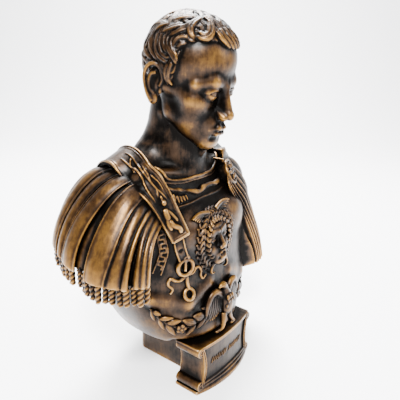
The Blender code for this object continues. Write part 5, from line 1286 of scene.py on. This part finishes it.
def dimple(mesh, torso, centre, radius, depth):
    # a round hole sunk into the tab
    at, normal = torso.land(np.array([centre]))
    co = pulled(mesh.vertices, "co", 3, float) / mm
    off = co - at[0]
    out = off @ normal[0]
    away = np.linalg.norm(off - out[:, None] * normal[0], axis=1)
    push = depth * smooth((radius - away) / (0.5 * radius)) * (np.abs(out) < 6)
    mesh.vertices.foreach_set("co", ((co - push[:, None] * normal[0]) * mm).ravel())
    mesh.update()


# the small plinth: a post behind a bowed plaque that curls back at its corners
base = {
    "postWidth": 40.0, "postBack": 44.0, "height": 40.0, "corner": 5.0,
    "width": 78.0, "waist": 64.0, "tall": 44.0, "front": -37.5, "back": -16.0, "bow": 4.5,
    "roll": 4.2, "raise": 1.5, "ledge": 8.0, "ledgeReach": 3.5, "slab": 3.2,
    "strokes": 17, "pitch": 2.6,
}


def plaqueHalf(z):
    low = base["slab"] + base["roll"]
    rise = np.clip((z - low) / (base["tall"] - base["roll"] - low), 0, 1)
    inset = (base["width"] - base["waist"]) / 2 - base["roll"]
    half = base["width"] / 2 - base["roll"] - inset * np.sin(math.pi * rise)
    return np.where(z <= base["slab"], base["width"] / 2, half)


def plaqueFront(x):
    return base["front"] - base["bow"] * (1 - (2 * x / base["width"]) ** 2)


def plaqueShell():
    # level sections: a sunk panel, a framed edge, and a ledge with two bevels
    ledge, top = base["ledge"], base["tall"]
    z = np.concatenate([
        [0, 0.5, 1.2], np.linspace(2.0, ledge + 4, 40), np.linspace(ledge + 5, top - 5, 26),
        np.linspace(top - 4.5, top, 16),
    ])
    u = np.linspace(1, -1, 161)
    z, u = np.meshgrid(z, u, indexing="ij")
    half = plaqueHalf(z)
    x = u * half
    bow = 1 - (2 * x / base["width"]) ** 2
    proud = base["raise"] * smooth((z - top + 3.4) / 0.8)
    foot = np.clip((ledge + 1.4 - z) / 1.2, 0, 1)
    proud = np.maximum(proud, base["raise"] * foot)
    step = 0.45 * np.clip((ledge - 1.2 - z) / 0.8, 0, 1) + 0.55 * smooth((ledge - 3.2 - z) / 2.2)
    y = plaqueFront(x) - proud - bow * base["ledgeReach"] * step
    rings = xyz(x, y, z)
    behind = np.stack([rings[:, k] * [1, 0, 1] + [0, base["back"], 0] for k in (-1, 0)], 1)
    return ringsShell(np.concatenate([rings, behind], 1))


def frameShells():
    # a doubled rod up each side of the panel, that winds into a volute at both ends
    shells = []
    low, high = base["slab"] + base["roll"] - 0.4, base["tall"] - base["roll"]
    for side in (-1, 1):
        for inset, thick in ((1.0, 1.0), (3.1, 0.75)):
            z = np.linspace(low, high, 60)
            x = side * (plaqueHalf(z) - inset)
            runs = [xyz(x, z)]
            for level, upward in ((high, 1), (low, -1)):
                turn = np.linspace(0, 1.55 * math.pi if inset < 2 else 1.2 * math.pi, 30)
                reach = (base["roll"] - 0.9 - (inset - 1.0) * 0.5) * (1 - 0.13 * turn)
                centre = side * (base["width"] / 2 - base["roll"])
                start = runs[0][-1 if upward > 0 else 0]
                curl = xyz(centre - side * reach * np.cos(turn), level + upward * reach * np.sin(turn))
                curl += (start - curl[0]) * (1 - smooth(turn / 0.8))[:, None]
                runs = [*runs, curl] if upward > 0 else [curl[::-1], *runs]
            flat = np.concatenate(runs)
            path = xyz(flat[:, 0], plaqueFront(flat[:, 0]) - base["raise"] * 0.55, flat[:, 1])
            shells.append(band(path, thick, thick * 1.5, (0, -1, 0), 12))
    return shells


def rollShells():
    # the rolls where the sheet of the plaque curls back, and the thin plate over each upper one
    shells = []
    angle = fullTurn(48)
    r = base["roll"]
    for side in (-1, 1):
        for z in (base["slab"] + r - 0.4, base["tall"] - r):
            x = side * (base["width"] / 2 - r)
            front = plaqueFront(x) - base["raise"]
            ends = (
                (0.55, front - 0.2), (0.72, front), (0.74, front + 0.9), (0.80, front + 0.9),
                (0.86, front - 0.5), (0.97, front - 0.2), (1.0, front + 0.5),
                (1.0, base["back"] - 0.8), (0.9, base["back"]),
            )
            rings = [xyz(x + r * k * np.cos(angle), y, z + r * k * np.sin(angle)) for k, y in ends]
            shells.append(ringsShell(np.stack(rings)))
        lane = np.linspace(plaqueFront(side * 36.0) - 0.5, base["back"] + 0.5, 12)
        plate = xyz(side * (base["width"] / 2 - r - 0.4), lane, base["tall"] - 0.9)
        shells.append(band(plate, r - 0.2, 0.9, (0, 0, 1), 24, 8.0))
    return shells


def postShell():
    half, depth = base["postWidth"] / 2, (base["postBack"] - base["back"]) / 2 + 2.0
    middle = base["postBack"] - depth
    turn = fullTurn(96) + 0.01
    square = xyz(np.sign(np.cos(turn)), np.sign(np.sin(turn)))
    corner, top = base["corner"], base["height"]
    flat = square * [half - corner, depth - corner] + corner * xyz(np.cos(turn), np.sin(turn))
    levels = [(0.955, 0.0), (0.985, 0.3), (1.0, 1.2)]
    levels += [(1.0, top - 1.2), (0.985, top - 0.3), (0.955, top)]
    rings = [xyz(flat[:, 0] * k, middle + flat[:, 1] * k, z) for k, z in levels]
    return ringsShell(np.stack(rings))


def strokeShells():
    # shallow leaning strokes in the place of an inscription
    shells = []
    middle = (base["ledge"] + base["tall"]) / 2 - 0.5
    for k in range(base["strokes"]):
        if k == base["strokes"] // 2:
            continue
        x = (k - (base["strokes"] - 1) / 2) * base["pitch"]
        t = np.linspace(-1, 1, 12)
        at = x + 0.9 * t
        path = xyz(at, plaqueFront(at) + 0.1, middle + t * (2.3 if k % 3 else 3.0))
        shells.append(band(path, 0.62 * np.sqrt(1.1 - t**2), 0.95, (0, -1, 0), 8))
    return shells


# the fringe of twisted cords, one under each share of the hem
fringe = {"count": 25, "length": 17.0, "radius": 2.4, "turns": 4.5, "sides": 14, "steps": 34}


def inputs(tree, wanted):
    ids = {}
    for name, kind, value in wanted:
        socket = tree.interface.new_socket(name, in_out="INPUT", socket_type=kind)
        if value is not None:
            socket.default_value = value
        ids[name] = socket.identifier
    tree.interface.new_socket("Geometry", in_out="OUTPUT", socket_type="NodeSocketGeometry")
    return ids


class Wiring:
    # short ways to add nodes and join them
    def __init__(self, tree):
        self.tree = tree

    def add(self, kind, **facts):
        node = self.tree.nodes.new(kind)
        for key, value in facts.items():
            setattr(node, key, value)
        return node

    def join(self, source, target):
        self.tree.links.new(source, target)

    def math(self, operation, a, b=None):
        node = self.add("ShaderNodeMath", operation=operation)
        for slot, value in zip(node.inputs, (a, b)):
            if value is None:
                continue
            if isinstance(value, (int, float)):
                slot.default_value = value
            else:
                self.join(value, slot)
        return node.outputs[0]


def cordTree():
    # a cylinder is pinched into twisted ridges, then set under every point of the hem
    tree = bpy.data.node_groups.new("cordFringe", "GeometryNodeTree")
    ids = inputs(tree, (
        ("Geometry", "NodeSocketGeometry", None),
        ("Length", "NodeSocketFloat", 0.017),
        ("Radius", "NodeSocketFloat", 0.0024),
        ("Turns", "NodeSocketFloat", 4.5),
        ("Sides", "NodeSocketInt", 14),
        ("Steps", "NodeSocketInt", 34),
        ("Seed", "NodeSocketInt", 3),
        ("Material", "NodeSocketMaterial", None),
    ))
    w = Wiring(tree)
    given = w.add("NodeGroupInput").outputs
    rod = w.add("GeometryNodeMeshCylinder", fill_type="TRIANGLE_FAN")
    for name, target in (
        ("Sides", "Vertices"), ("Steps", "Side Segments"), ("Radius", "Radius"),
        ("Length", "Depth"),
    ):
        w.join(given[name], rod.inputs[target])
    place = w.add("ShaderNodeSeparateXYZ")
    w.join(w.add("GeometryNodeInputPosition").outputs[0], place.inputs[0])
    x, y, z = place.outputs
    down = w.math("SUBTRACT", 0.5, w.math("DIVIDE", z, given["Length"]))
    twist = w.math("MULTIPLY", w.math("MULTIPLY", down, given["Turns"]), math.pi)
    ridge = w.math("ABSOLUTE", w.math("COSINE", w.math("ADD", twist, w.math("ARCTAN2", y, x))))
    share = w.math("ADD", w.math("MULTIPLY", ridge, 0.38), 0.68)
    for limits in ((0.92, 1.0, 1.0, 0.45), (0.0, 0.14, 0.30, 1.0)):  # tip and root are thinner
        share = w.math("MULTIPLY", share, ranged(w, down, *limits))
    moved = w.add("ShaderNodeCombineXYZ")
    w.join(w.math("MULTIPLY", x, share), moved.inputs[0])
    w.join(w.math("MULTIPLY", y, share), moved.inputs[1])
    w.join(w.math("SUBTRACT", z, w.math("MULTIPLY", given["Length"], 0.5)), moved.inputs[2])
    pinch = w.add("GeometryNodeSetPosition")
    w.join(rod.outputs[0], pinch.inputs[0])
    w.join(moved.outputs[0], pinch.inputs["Position"])

    def drawn(low, high, seed):
        node = w.add("FunctionNodeRandomValue", data_type="FLOAT_VECTOR")
        node.inputs[0].default_value, node.inputs[1].default_value = low, high
        w.join(seed, node.inputs["Seed"])
        return node.outputs[0]

    hang = w.add("GeometryNodeInstanceOnPoints")
    w.join(given["Geometry"], hang.inputs["Points"])
    w.join(pinch.outputs[0], hang.inputs["Instance"])
    w.join(drawn((-0.05, -0.05, 0.0), (0.05, 0.05, 6.28), given["Seed"]), hang.inputs["Rotation"])
    again = w.math("ADD", given["Seed"], 7)
    w.join(drawn((0.94, 0.94, 0.93), (1.06, 1.06, 1.05), again), hang.inputs["Scale"])
    last = hang
    for kind in ("RealizeInstances", "SetShadeSmooth", "SetMaterial"):
        node = w.add("GeometryNode" + kind)
        w.join(last.outputs[0], node.inputs[0])
        last = node
    w.join(given["Material"], last.inputs["Material"])
    w.join(last.outputs[0], w.add("NodeGroupOutput").inputs[0])
    return tree, ids


def makeFringe(cape, material):
    points = cordTops(cape, fringe["count"])
    mesh = bpy.data.meshes.new("fringe")
    mesh.from_pydata((points * mm).tolist(), [], [])
    obj = newObject("fringe", mesh)
    tree, ids = cordTree()
    hang = obj.modifiers.new("cords", "NODES")
    hang.node_group = tree
    hang[ids["Material"]] = material
    for size in ("length", "radius", "turns", "sides", "steps"):
        hang[ids[size.title()]] = fringe[size] * (mm if size in ("length", "radius") else 1)
    print("fringe", triangleCount(bake(obj)))
    return obj


def pulled(items, field, width, kind=np.float32):
    # one field of all vertices, edges or triangles as rows
    values = np.empty(len(items) * width, kind)
    items.foreach_get(field, values)
    return values.reshape(-1, width)


# wear: how deep in a hollow, and how far proud, each point of the skin lies
def meshArrays(mesh):
    mesh.calc_loop_triangles()
    return (
        pulled(mesh.vertices, "co", 3) / mm,
        pulled(mesh.vertices, "normal", 3),
        pulled(mesh.loop_triangles, "vertices", 3, np.int32),
        pulled(mesh.edges, "vertices", 2, np.int32),
    )


def eased(values, ends, passes, factor=0.6):
    # repeated averaging with the neighbours
    n = len(values)
    a, b = ends[:, 0], ends[:, 1]
    degree = np.maximum(np.bincount(a, minlength=n) + np.bincount(b, minlength=n), 1)[:, None]
    values = values.astype(float)
    for _ in range(passes):
        total = np.stack([
            np.bincount(
                a, values[b, k], n,
            ) + np.bincount(b, values[a, k], n) for k in range(values.shape[1])
        ], -1)
        values += factor * (total / degree - values)
    return values


class Solidity:
    # how full of material the space is, blurred at several sizes, from the surface alone
    def __init__(self, parts, cell=2.0, margin=26.0):
        corners = [p[0] for p in parts]
        self.low = np.min([c.min(0) for c in corners], 0) - margin
        high = np.max([c.max(0) for c in corners], 0) + margin
        self.cell = cell
        self.size = np.ceil((high - self.low) / cell).astype(int)
        flow = [np.zeros(self.size.prod()) for _ in range(3)]
        for co, _, tri, _ in parts:
            a, b, c = co[tri[:, 0]], co[tri[:, 1]], co[tri[:, 2]]
            area = 0.5 * np.cross(b - a, c - a)
            at = np.clip(((a + b + c) / 3 - self.low) / cell, 0, self.size - 1).round().astype(int)
            flat = np.ravel_multi_index(np.minimum(at, self.size - 1).T, self.size)
            for k in range(3):
                flow[k] += np.bincount(flat, area[:, k], self.size.prod())
        waves = [2 * math.pi * np.fft.fftfreq(n, cell) for n in self.size[:2]]
        waves.append(2 * math.pi * np.fft.rfftfreq(self.size[2], cell))
        k = np.meshgrid(*waves, indexing="ij")
        self.square = k[0] ** 2 + k[1] ** 2 + k[2] ** 2
        total = sum(k[i] * np.fft.rfftn(flow[i].reshape(self.size)) for i in range(3))
        self.wave = 1j * total / np.maximum(self.square, 1e-9) / cell**3

    def blurred(self, sigma):
        grid = np.fft.irfftn(
            self.wave * np.exp(-0.5 * self.square * sigma**2), s=tuple(self.size),
            axes=(0, 1, 2),
        )
        return grid - grid[0, 0, 0]

    def sample(self, grid, p):
        at = np.clip((p - self.low) / self.cell, 0, self.size - 1.001)
        i = at.astype(int)
        t = at - i
        total = 0.0
        for corner in np.ndindex(2, 2, 2):
            weight = np.where(corner, t, 1 - t).prod(1)
            total = total + weight * grid[tuple((i + corner).T)]
        return total


def addWear(pieces):
    parts = [meshArrays(piece.data) for piece in pieces]
    solid = Solidity(parts)
    near, far = solid.blurred(2.6), solid.blurred(8.0)
    for piece, (co, no, tri, ends) in zip(pieces, parts):
        small = eased(co, ends, 5)
        middle = eased(small, ends, 22)
        fine = ((co - small) * no).sum(1)
        broad = ((co - middle) * no).sum(1)
        crowded = solid.sample(near, co + no * 2.4) - 0.18
        sunk = solid.sample(far, co + no * 5.0) - 0.26
        fine, broad = fine - np.median(fine), broad - np.median(broad)
        values = {
            "fine": fine / (0.06 + 1.2 * fine.std()),
            "broad": broad / (0.2 + 1.2 * broad.std()),
            "crowded": crowded / 0.25,
            "sunk": sunk / 0.3,
        }
        for name, value in values.items():
            attribute = piece.data.attributes.new(name, "FLOAT", "POINT")
            value = eased(np.clip(value, -2, 2)[:, None], ends, 1)[:, 0]
            attribute.data.foreach_set("value", value.astype(np.float32))
            print(piece.name, name, np.round(np.percentile(value, (2, 25, 50, 75, 98)), 2))


patina = {
    "dark": (0.0012, 0.0008, 0.0005),
    "brown": (0.023, 0.0092, 0.0015),
    "gold": (0.200, 0.094, 0.0160),
    "pale": (0.50, 0.36, 0.195),
}


def mixColour(w, share, a, b):
    node = w.add("ShaderNodeMix", data_type="RGBA")
    w.join(share, node.inputs[0])
    for slot, value in ((node.inputs[6], a), (node.inputs[7], b)):
        if isinstance(value, tuple):
            slot.default_value = (*value, 1.0)
        else:
            w.join(value, slot)
    return node.outputs[2]


def ranged(w, value, low, high, outLow=0.0, outHigh=1.0):
    node = w.add("ShaderNodeMapRange", interpolation_type="SMOOTHSTEP")
    for slot, number in zip(node.inputs[1:5], (low, high, outLow, outHigh)):
        slot.default_value = number
    w.join(value, node.inputs[0])
    return node.outputs[0]


def bronzeMaterial(name, worn=True, paintedLightShift=0.0, depth=1.0):
    material = bpy.data.materials.new(name)
    material.use_nodes = True
    tree = material.node_tree
    w = Wiring(tree)
    shader = tree.nodes["Principled BSDF"]
    place = w.add("ShaderNodeTexCoord").outputs["Object"]

    def noise(scale, detail, rough=0.55, stretch=None):
        source = place
        if stretch:
            turn = w.add("ShaderNodeMapping")
            turn.inputs["Scale"].default_value = stretch
            w.join(place, turn.inputs[0])
            source = turn.outputs[0]
        node = w.add("ShaderNodeTexNoise")
        node.inputs["Scale"].default_value = scale
        node.inputs["Detail"].default_value = detail
        node.inputs["Roughness"].default_value = rough
        w.join(source, node.inputs["Vector"])
        return node.outputs[0]

    cloudy = noise(38.0, 4.0)
    mottled = noise(210.0, 5.0, 0.65)
    brushed = noise(420.0, 3.0, 0.6, (1.0, 1.0, 0.22))
    if worn:
        proud = None
        for label, weight in (("fine", 0.30), ("broad", 0.45), ("crowded", -0.80), ("sunk", -0.30)):
            reading = w.add("ShaderNodeAttribute", attribute_name=label).outputs["Fac"]
            term = w.math("MULTIPLY", reading, weight)
            proud = term if proud is None else w.math("ADD", proud, term)
        proud = w.math("MULTIPLY", proud, depth)
    else:
        edge = w.add("ShaderNodeNewGeometry").outputs["Pointiness"]
        proud = ranged(w, edge, 0.44, 0.56, -0.8, 0.9)
    for pattern, weight in ((cloudy, 1.35), (mottled, 0.7), (brushed, 0.5)):
        proud = w.math("ADD", proud, w.math("MULTIPLY", w.math("SUBTRACT", pattern, 0.5), weight))
    # painted light: a positive shift moves the whole piece toward gold and pale as a painted highlight,
    # a negative one toward brown and dark as painted shade
    proud = w.math("ADD", proud, paintedLightShift)
    colour = patina["dark"]
    for low, high, tone in ((-0.45, 0.20, "brown"), (0.05, 0.90, "gold"), (0.70, 1.7, "pale")):
        colour = mixColour(w, ranged(w, proud, low, high), colour, patina[tone])
    w.join(colour, shader.inputs["Base Color"])
    w.join(ranged(w, proud, -0.4, 0.9, 0.25, 0.85), shader.inputs["Metallic"])
    grain = w.math("ADD", mottled, w.math("MULTIPLY", cloudy, 0.5))
    w.join(ranged(w, grain, 0.45, 1.05, 0.27, 0.46), shader.inputs["Roughness"])
    w.join(ranged(w, proud, -0.6, 0.7, 0.05, 0.5), shader.inputs["Specular IOR Level"])
    bump = w.add("ShaderNodeBump")
    bump.inputs["Strength"].default_value = 0.22
    bump.inputs["Distance"].default_value = 0.0004
    w.join(w.math("ADD", mottled, w.math("MULTIPLY", brushed, 0.6)), bump.inputs["Height"])
    w.join(bump.outputs[0], shader.inputs["Normal"])
    return material


bronze = bronzeMaterial("rubbedBronze")
# lit and shaded copies of one bronze: the cape, strap and armour are shifted lighter as a painted
# highlight, and the face and plinth darker as painted shade
litAndShadedCoats = {
    "head": bronzeMaterial("faceBronze", paintedLightShift=-0.08, depth=0.85),
    "cape": bronzeMaterial("leatherBronze", paintedLightShift=0.10),
    "strap": bronzeMaterial("strapBronze", paintedLightShift=0.30),
    "cuirass": bronzeMaterial("armourBronze", paintedLightShift=0.10, depth=0.9),
    "pedestal": bronzeMaterial("pedestalBronze", paintedLightShift=-0.05),
}
plain = bronzeMaterial("plainBronze", worn=False)
torso = Surface(torsoField, torsoHeart, 190)
cape = domePatch(capeTops, capeHems, capeSizes["spring"], capeSizes["fall"])
cloak = domePatch(cloakTops, cloakHems, cloakSizes["spring"], cloakSizes["fall"])
armour = Surface(cuirassField, torsoHeart, 190).shell(400, 520)
garlands = festoonShells(torso, -1, 16) + festoonShells(torso, 1, 16)
pieces = [
    makeHead(),
    sculpt("cuirass", [armour] + trimShells(torso, 12)),
    sculpt("cape", [capeCore(cape, 120, 80)] + capeStrips(cape, capeSizes["strip"], 40, 90)),
    makeFringe(cape, bronze),
    sculpt("cloak", [cloakShell(cloak, 420, 120, cloakSizes["fold"])] + broochShells(20)),
    makeStrap(torso),
    sculpt("gorgon", maskShells(torso, 220, 260, 30, 18, 16)),
    sculpt("festoon", garlands + eagleShells(torso, 20, 14)),
    sculpt("pedestal", [plaqueShell(), postShell()] + rollShells() + frameShells() + strokeShells()),
]
addWear(pieces)
for piece in pieces:
    piece.data.materials.clear()
    piece.data.materials.append(litAndShadedCoats.get(piece.name, bronze))
    node = "plinth" if piece.name == "pedestal" else "bust"
    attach(piece, "root")
    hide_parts(node)
for node in frame["nodes"].values():
    for slot in node.material_slots:
        slot.material = plain

studio = {
    "paper": (0.93, 0.93, 0.94),
    "skyStrength": 0.6,
    # the sweep of paper: how far it runs back before it curves up, the curve's radius, its height
    "run": 0.9, "curve": 0.7, "height": 2.6, "wide": 5.0,
    # where each lamp stands, where it looks, its size in metres and its watts
    "lamps": (
        ((-0.75, -0.50, 1.10), (0.0, 0.0, 0.16), 0.30, 82.0),
        ((0.55, -0.90, 0.60), (0.0, 0.0, 0.16), 0.5, 10.0),
        ((0.35, 0.55, 0.95), (0.0, 0.0, 0.1), 0.4, 9.0),
        ((0.42, 0.34, 1.05), (0.50, 0.42, 0.0), 0.4, 85.0),
    ),
}
lens = {
    "azimuth": -53.22, "elevation": 18.75, "roll": 1.38, "focal": 457.85,
    "eye": (-285.9, -222.2, 276.0),
}


def makeStudio():
    # a sheet of pale paper that lies flat, then sweeps up behind the bust
    away = math.radians(lens["azimuth"])
    back, across = np.array(
        [-math.sin(away), math.cos(away), 0]
    ), np.array([math.cos(away), math.sin(away), 0])
    turn = np.linspace(0, math.pi / 2, 24)
    run = np.concatenate(
        [[-2.2], studio["run"] + studio["curve"] * np.sin(turn), [studio["run"] + studio["curve"]]]
    )
    rise = np.concatenate([[0.0], studio["curve"] * (1 - np.cos(turn)), [studio["height"]]])
    points, faces = [], []
    for k in range(len(run)):
        for edge in (-1, 1):
            points.append(tuple(back * run[k] + across * edge * studio["wide"] / 2 + [0, 0, rise[k]]))
    for k in range(len(run) - 1):
        faces.append((2 * k, 2 * k + 1, 2 * k + 3, 2 * k + 2))
    mesh = bpy.data.meshes.new("paper")
    mesh.from_pydata(points, [], faces)
    mesh.polygons.foreach_set("use_smooth", [True] * len(faces))
    floor = newObject("floor", mesh)
    paper = bpy.data.materials.new("palePaper")
    paper.use_nodes = True
    shader = paper.node_tree.nodes["Principled BSDF"]
    shader.inputs["Base Color"].default_value = (*studio["paper"], 1.0)
    shader.inputs["Roughness"].default_value = 0.9
    shader.inputs["Specular IOR Level"].default_value = 0.1
    floor.data.materials.append(paper)
    world = bpy.data.worlds.new("studio")
    world.use_nodes = True
    sky = world.node_tree.nodes["Background"]
    sky.inputs[0].default_value = (0.95, 0.96, 1.0, 1.0)
    sky.inputs[1].default_value = studio["skyStrength"]
    bpy.context.scene.world = world
    for place, target, size, watts in studio["lamps"]:
        lamp = bpy.data.lights.new("softbox", "AREA")
        lamp.energy, lamp.size = watts, size
        obj = newObject("softbox", lamp)
        turned = (Vector(target) - Vector(place)).to_track_quat("-Z", "Y").to_matrix().to_4x4()
        obj.matrix_world = Matrix.Translation(place) @ turned


def makeCamera():
    a, e, r = (math.radians(lens[k]) for k in ("azimuth", "elevation", "roll"))
    back = Vector((math.sin(a) * math.cos(e), -math.cos(a) * math.cos(e), math.sin(e)))
    right = Vector((math.cos(a), math.sin(a), 0.0))
    up = back.cross(right)
    across = right * math.cos(r) + up * math.sin(r)
    upward = up * math.cos(r) - right * math.sin(r)
    camera = newObject("camera", bpy.data.cameras.new("camera"))
    camera.data.sensor_width = 36.0
    camera.data.lens = lens["focal"] / 400 * 36.0
    turned = Matrix((across, upward, back)).transposed().to_4x4()
    turned.translation = Vector(lens["eye"]) * mm
    camera.matrix_world = turned
    bpy.context.scene.camera = camera


makeStudio()
makeCamera()
bpy.context.view_layer.update()
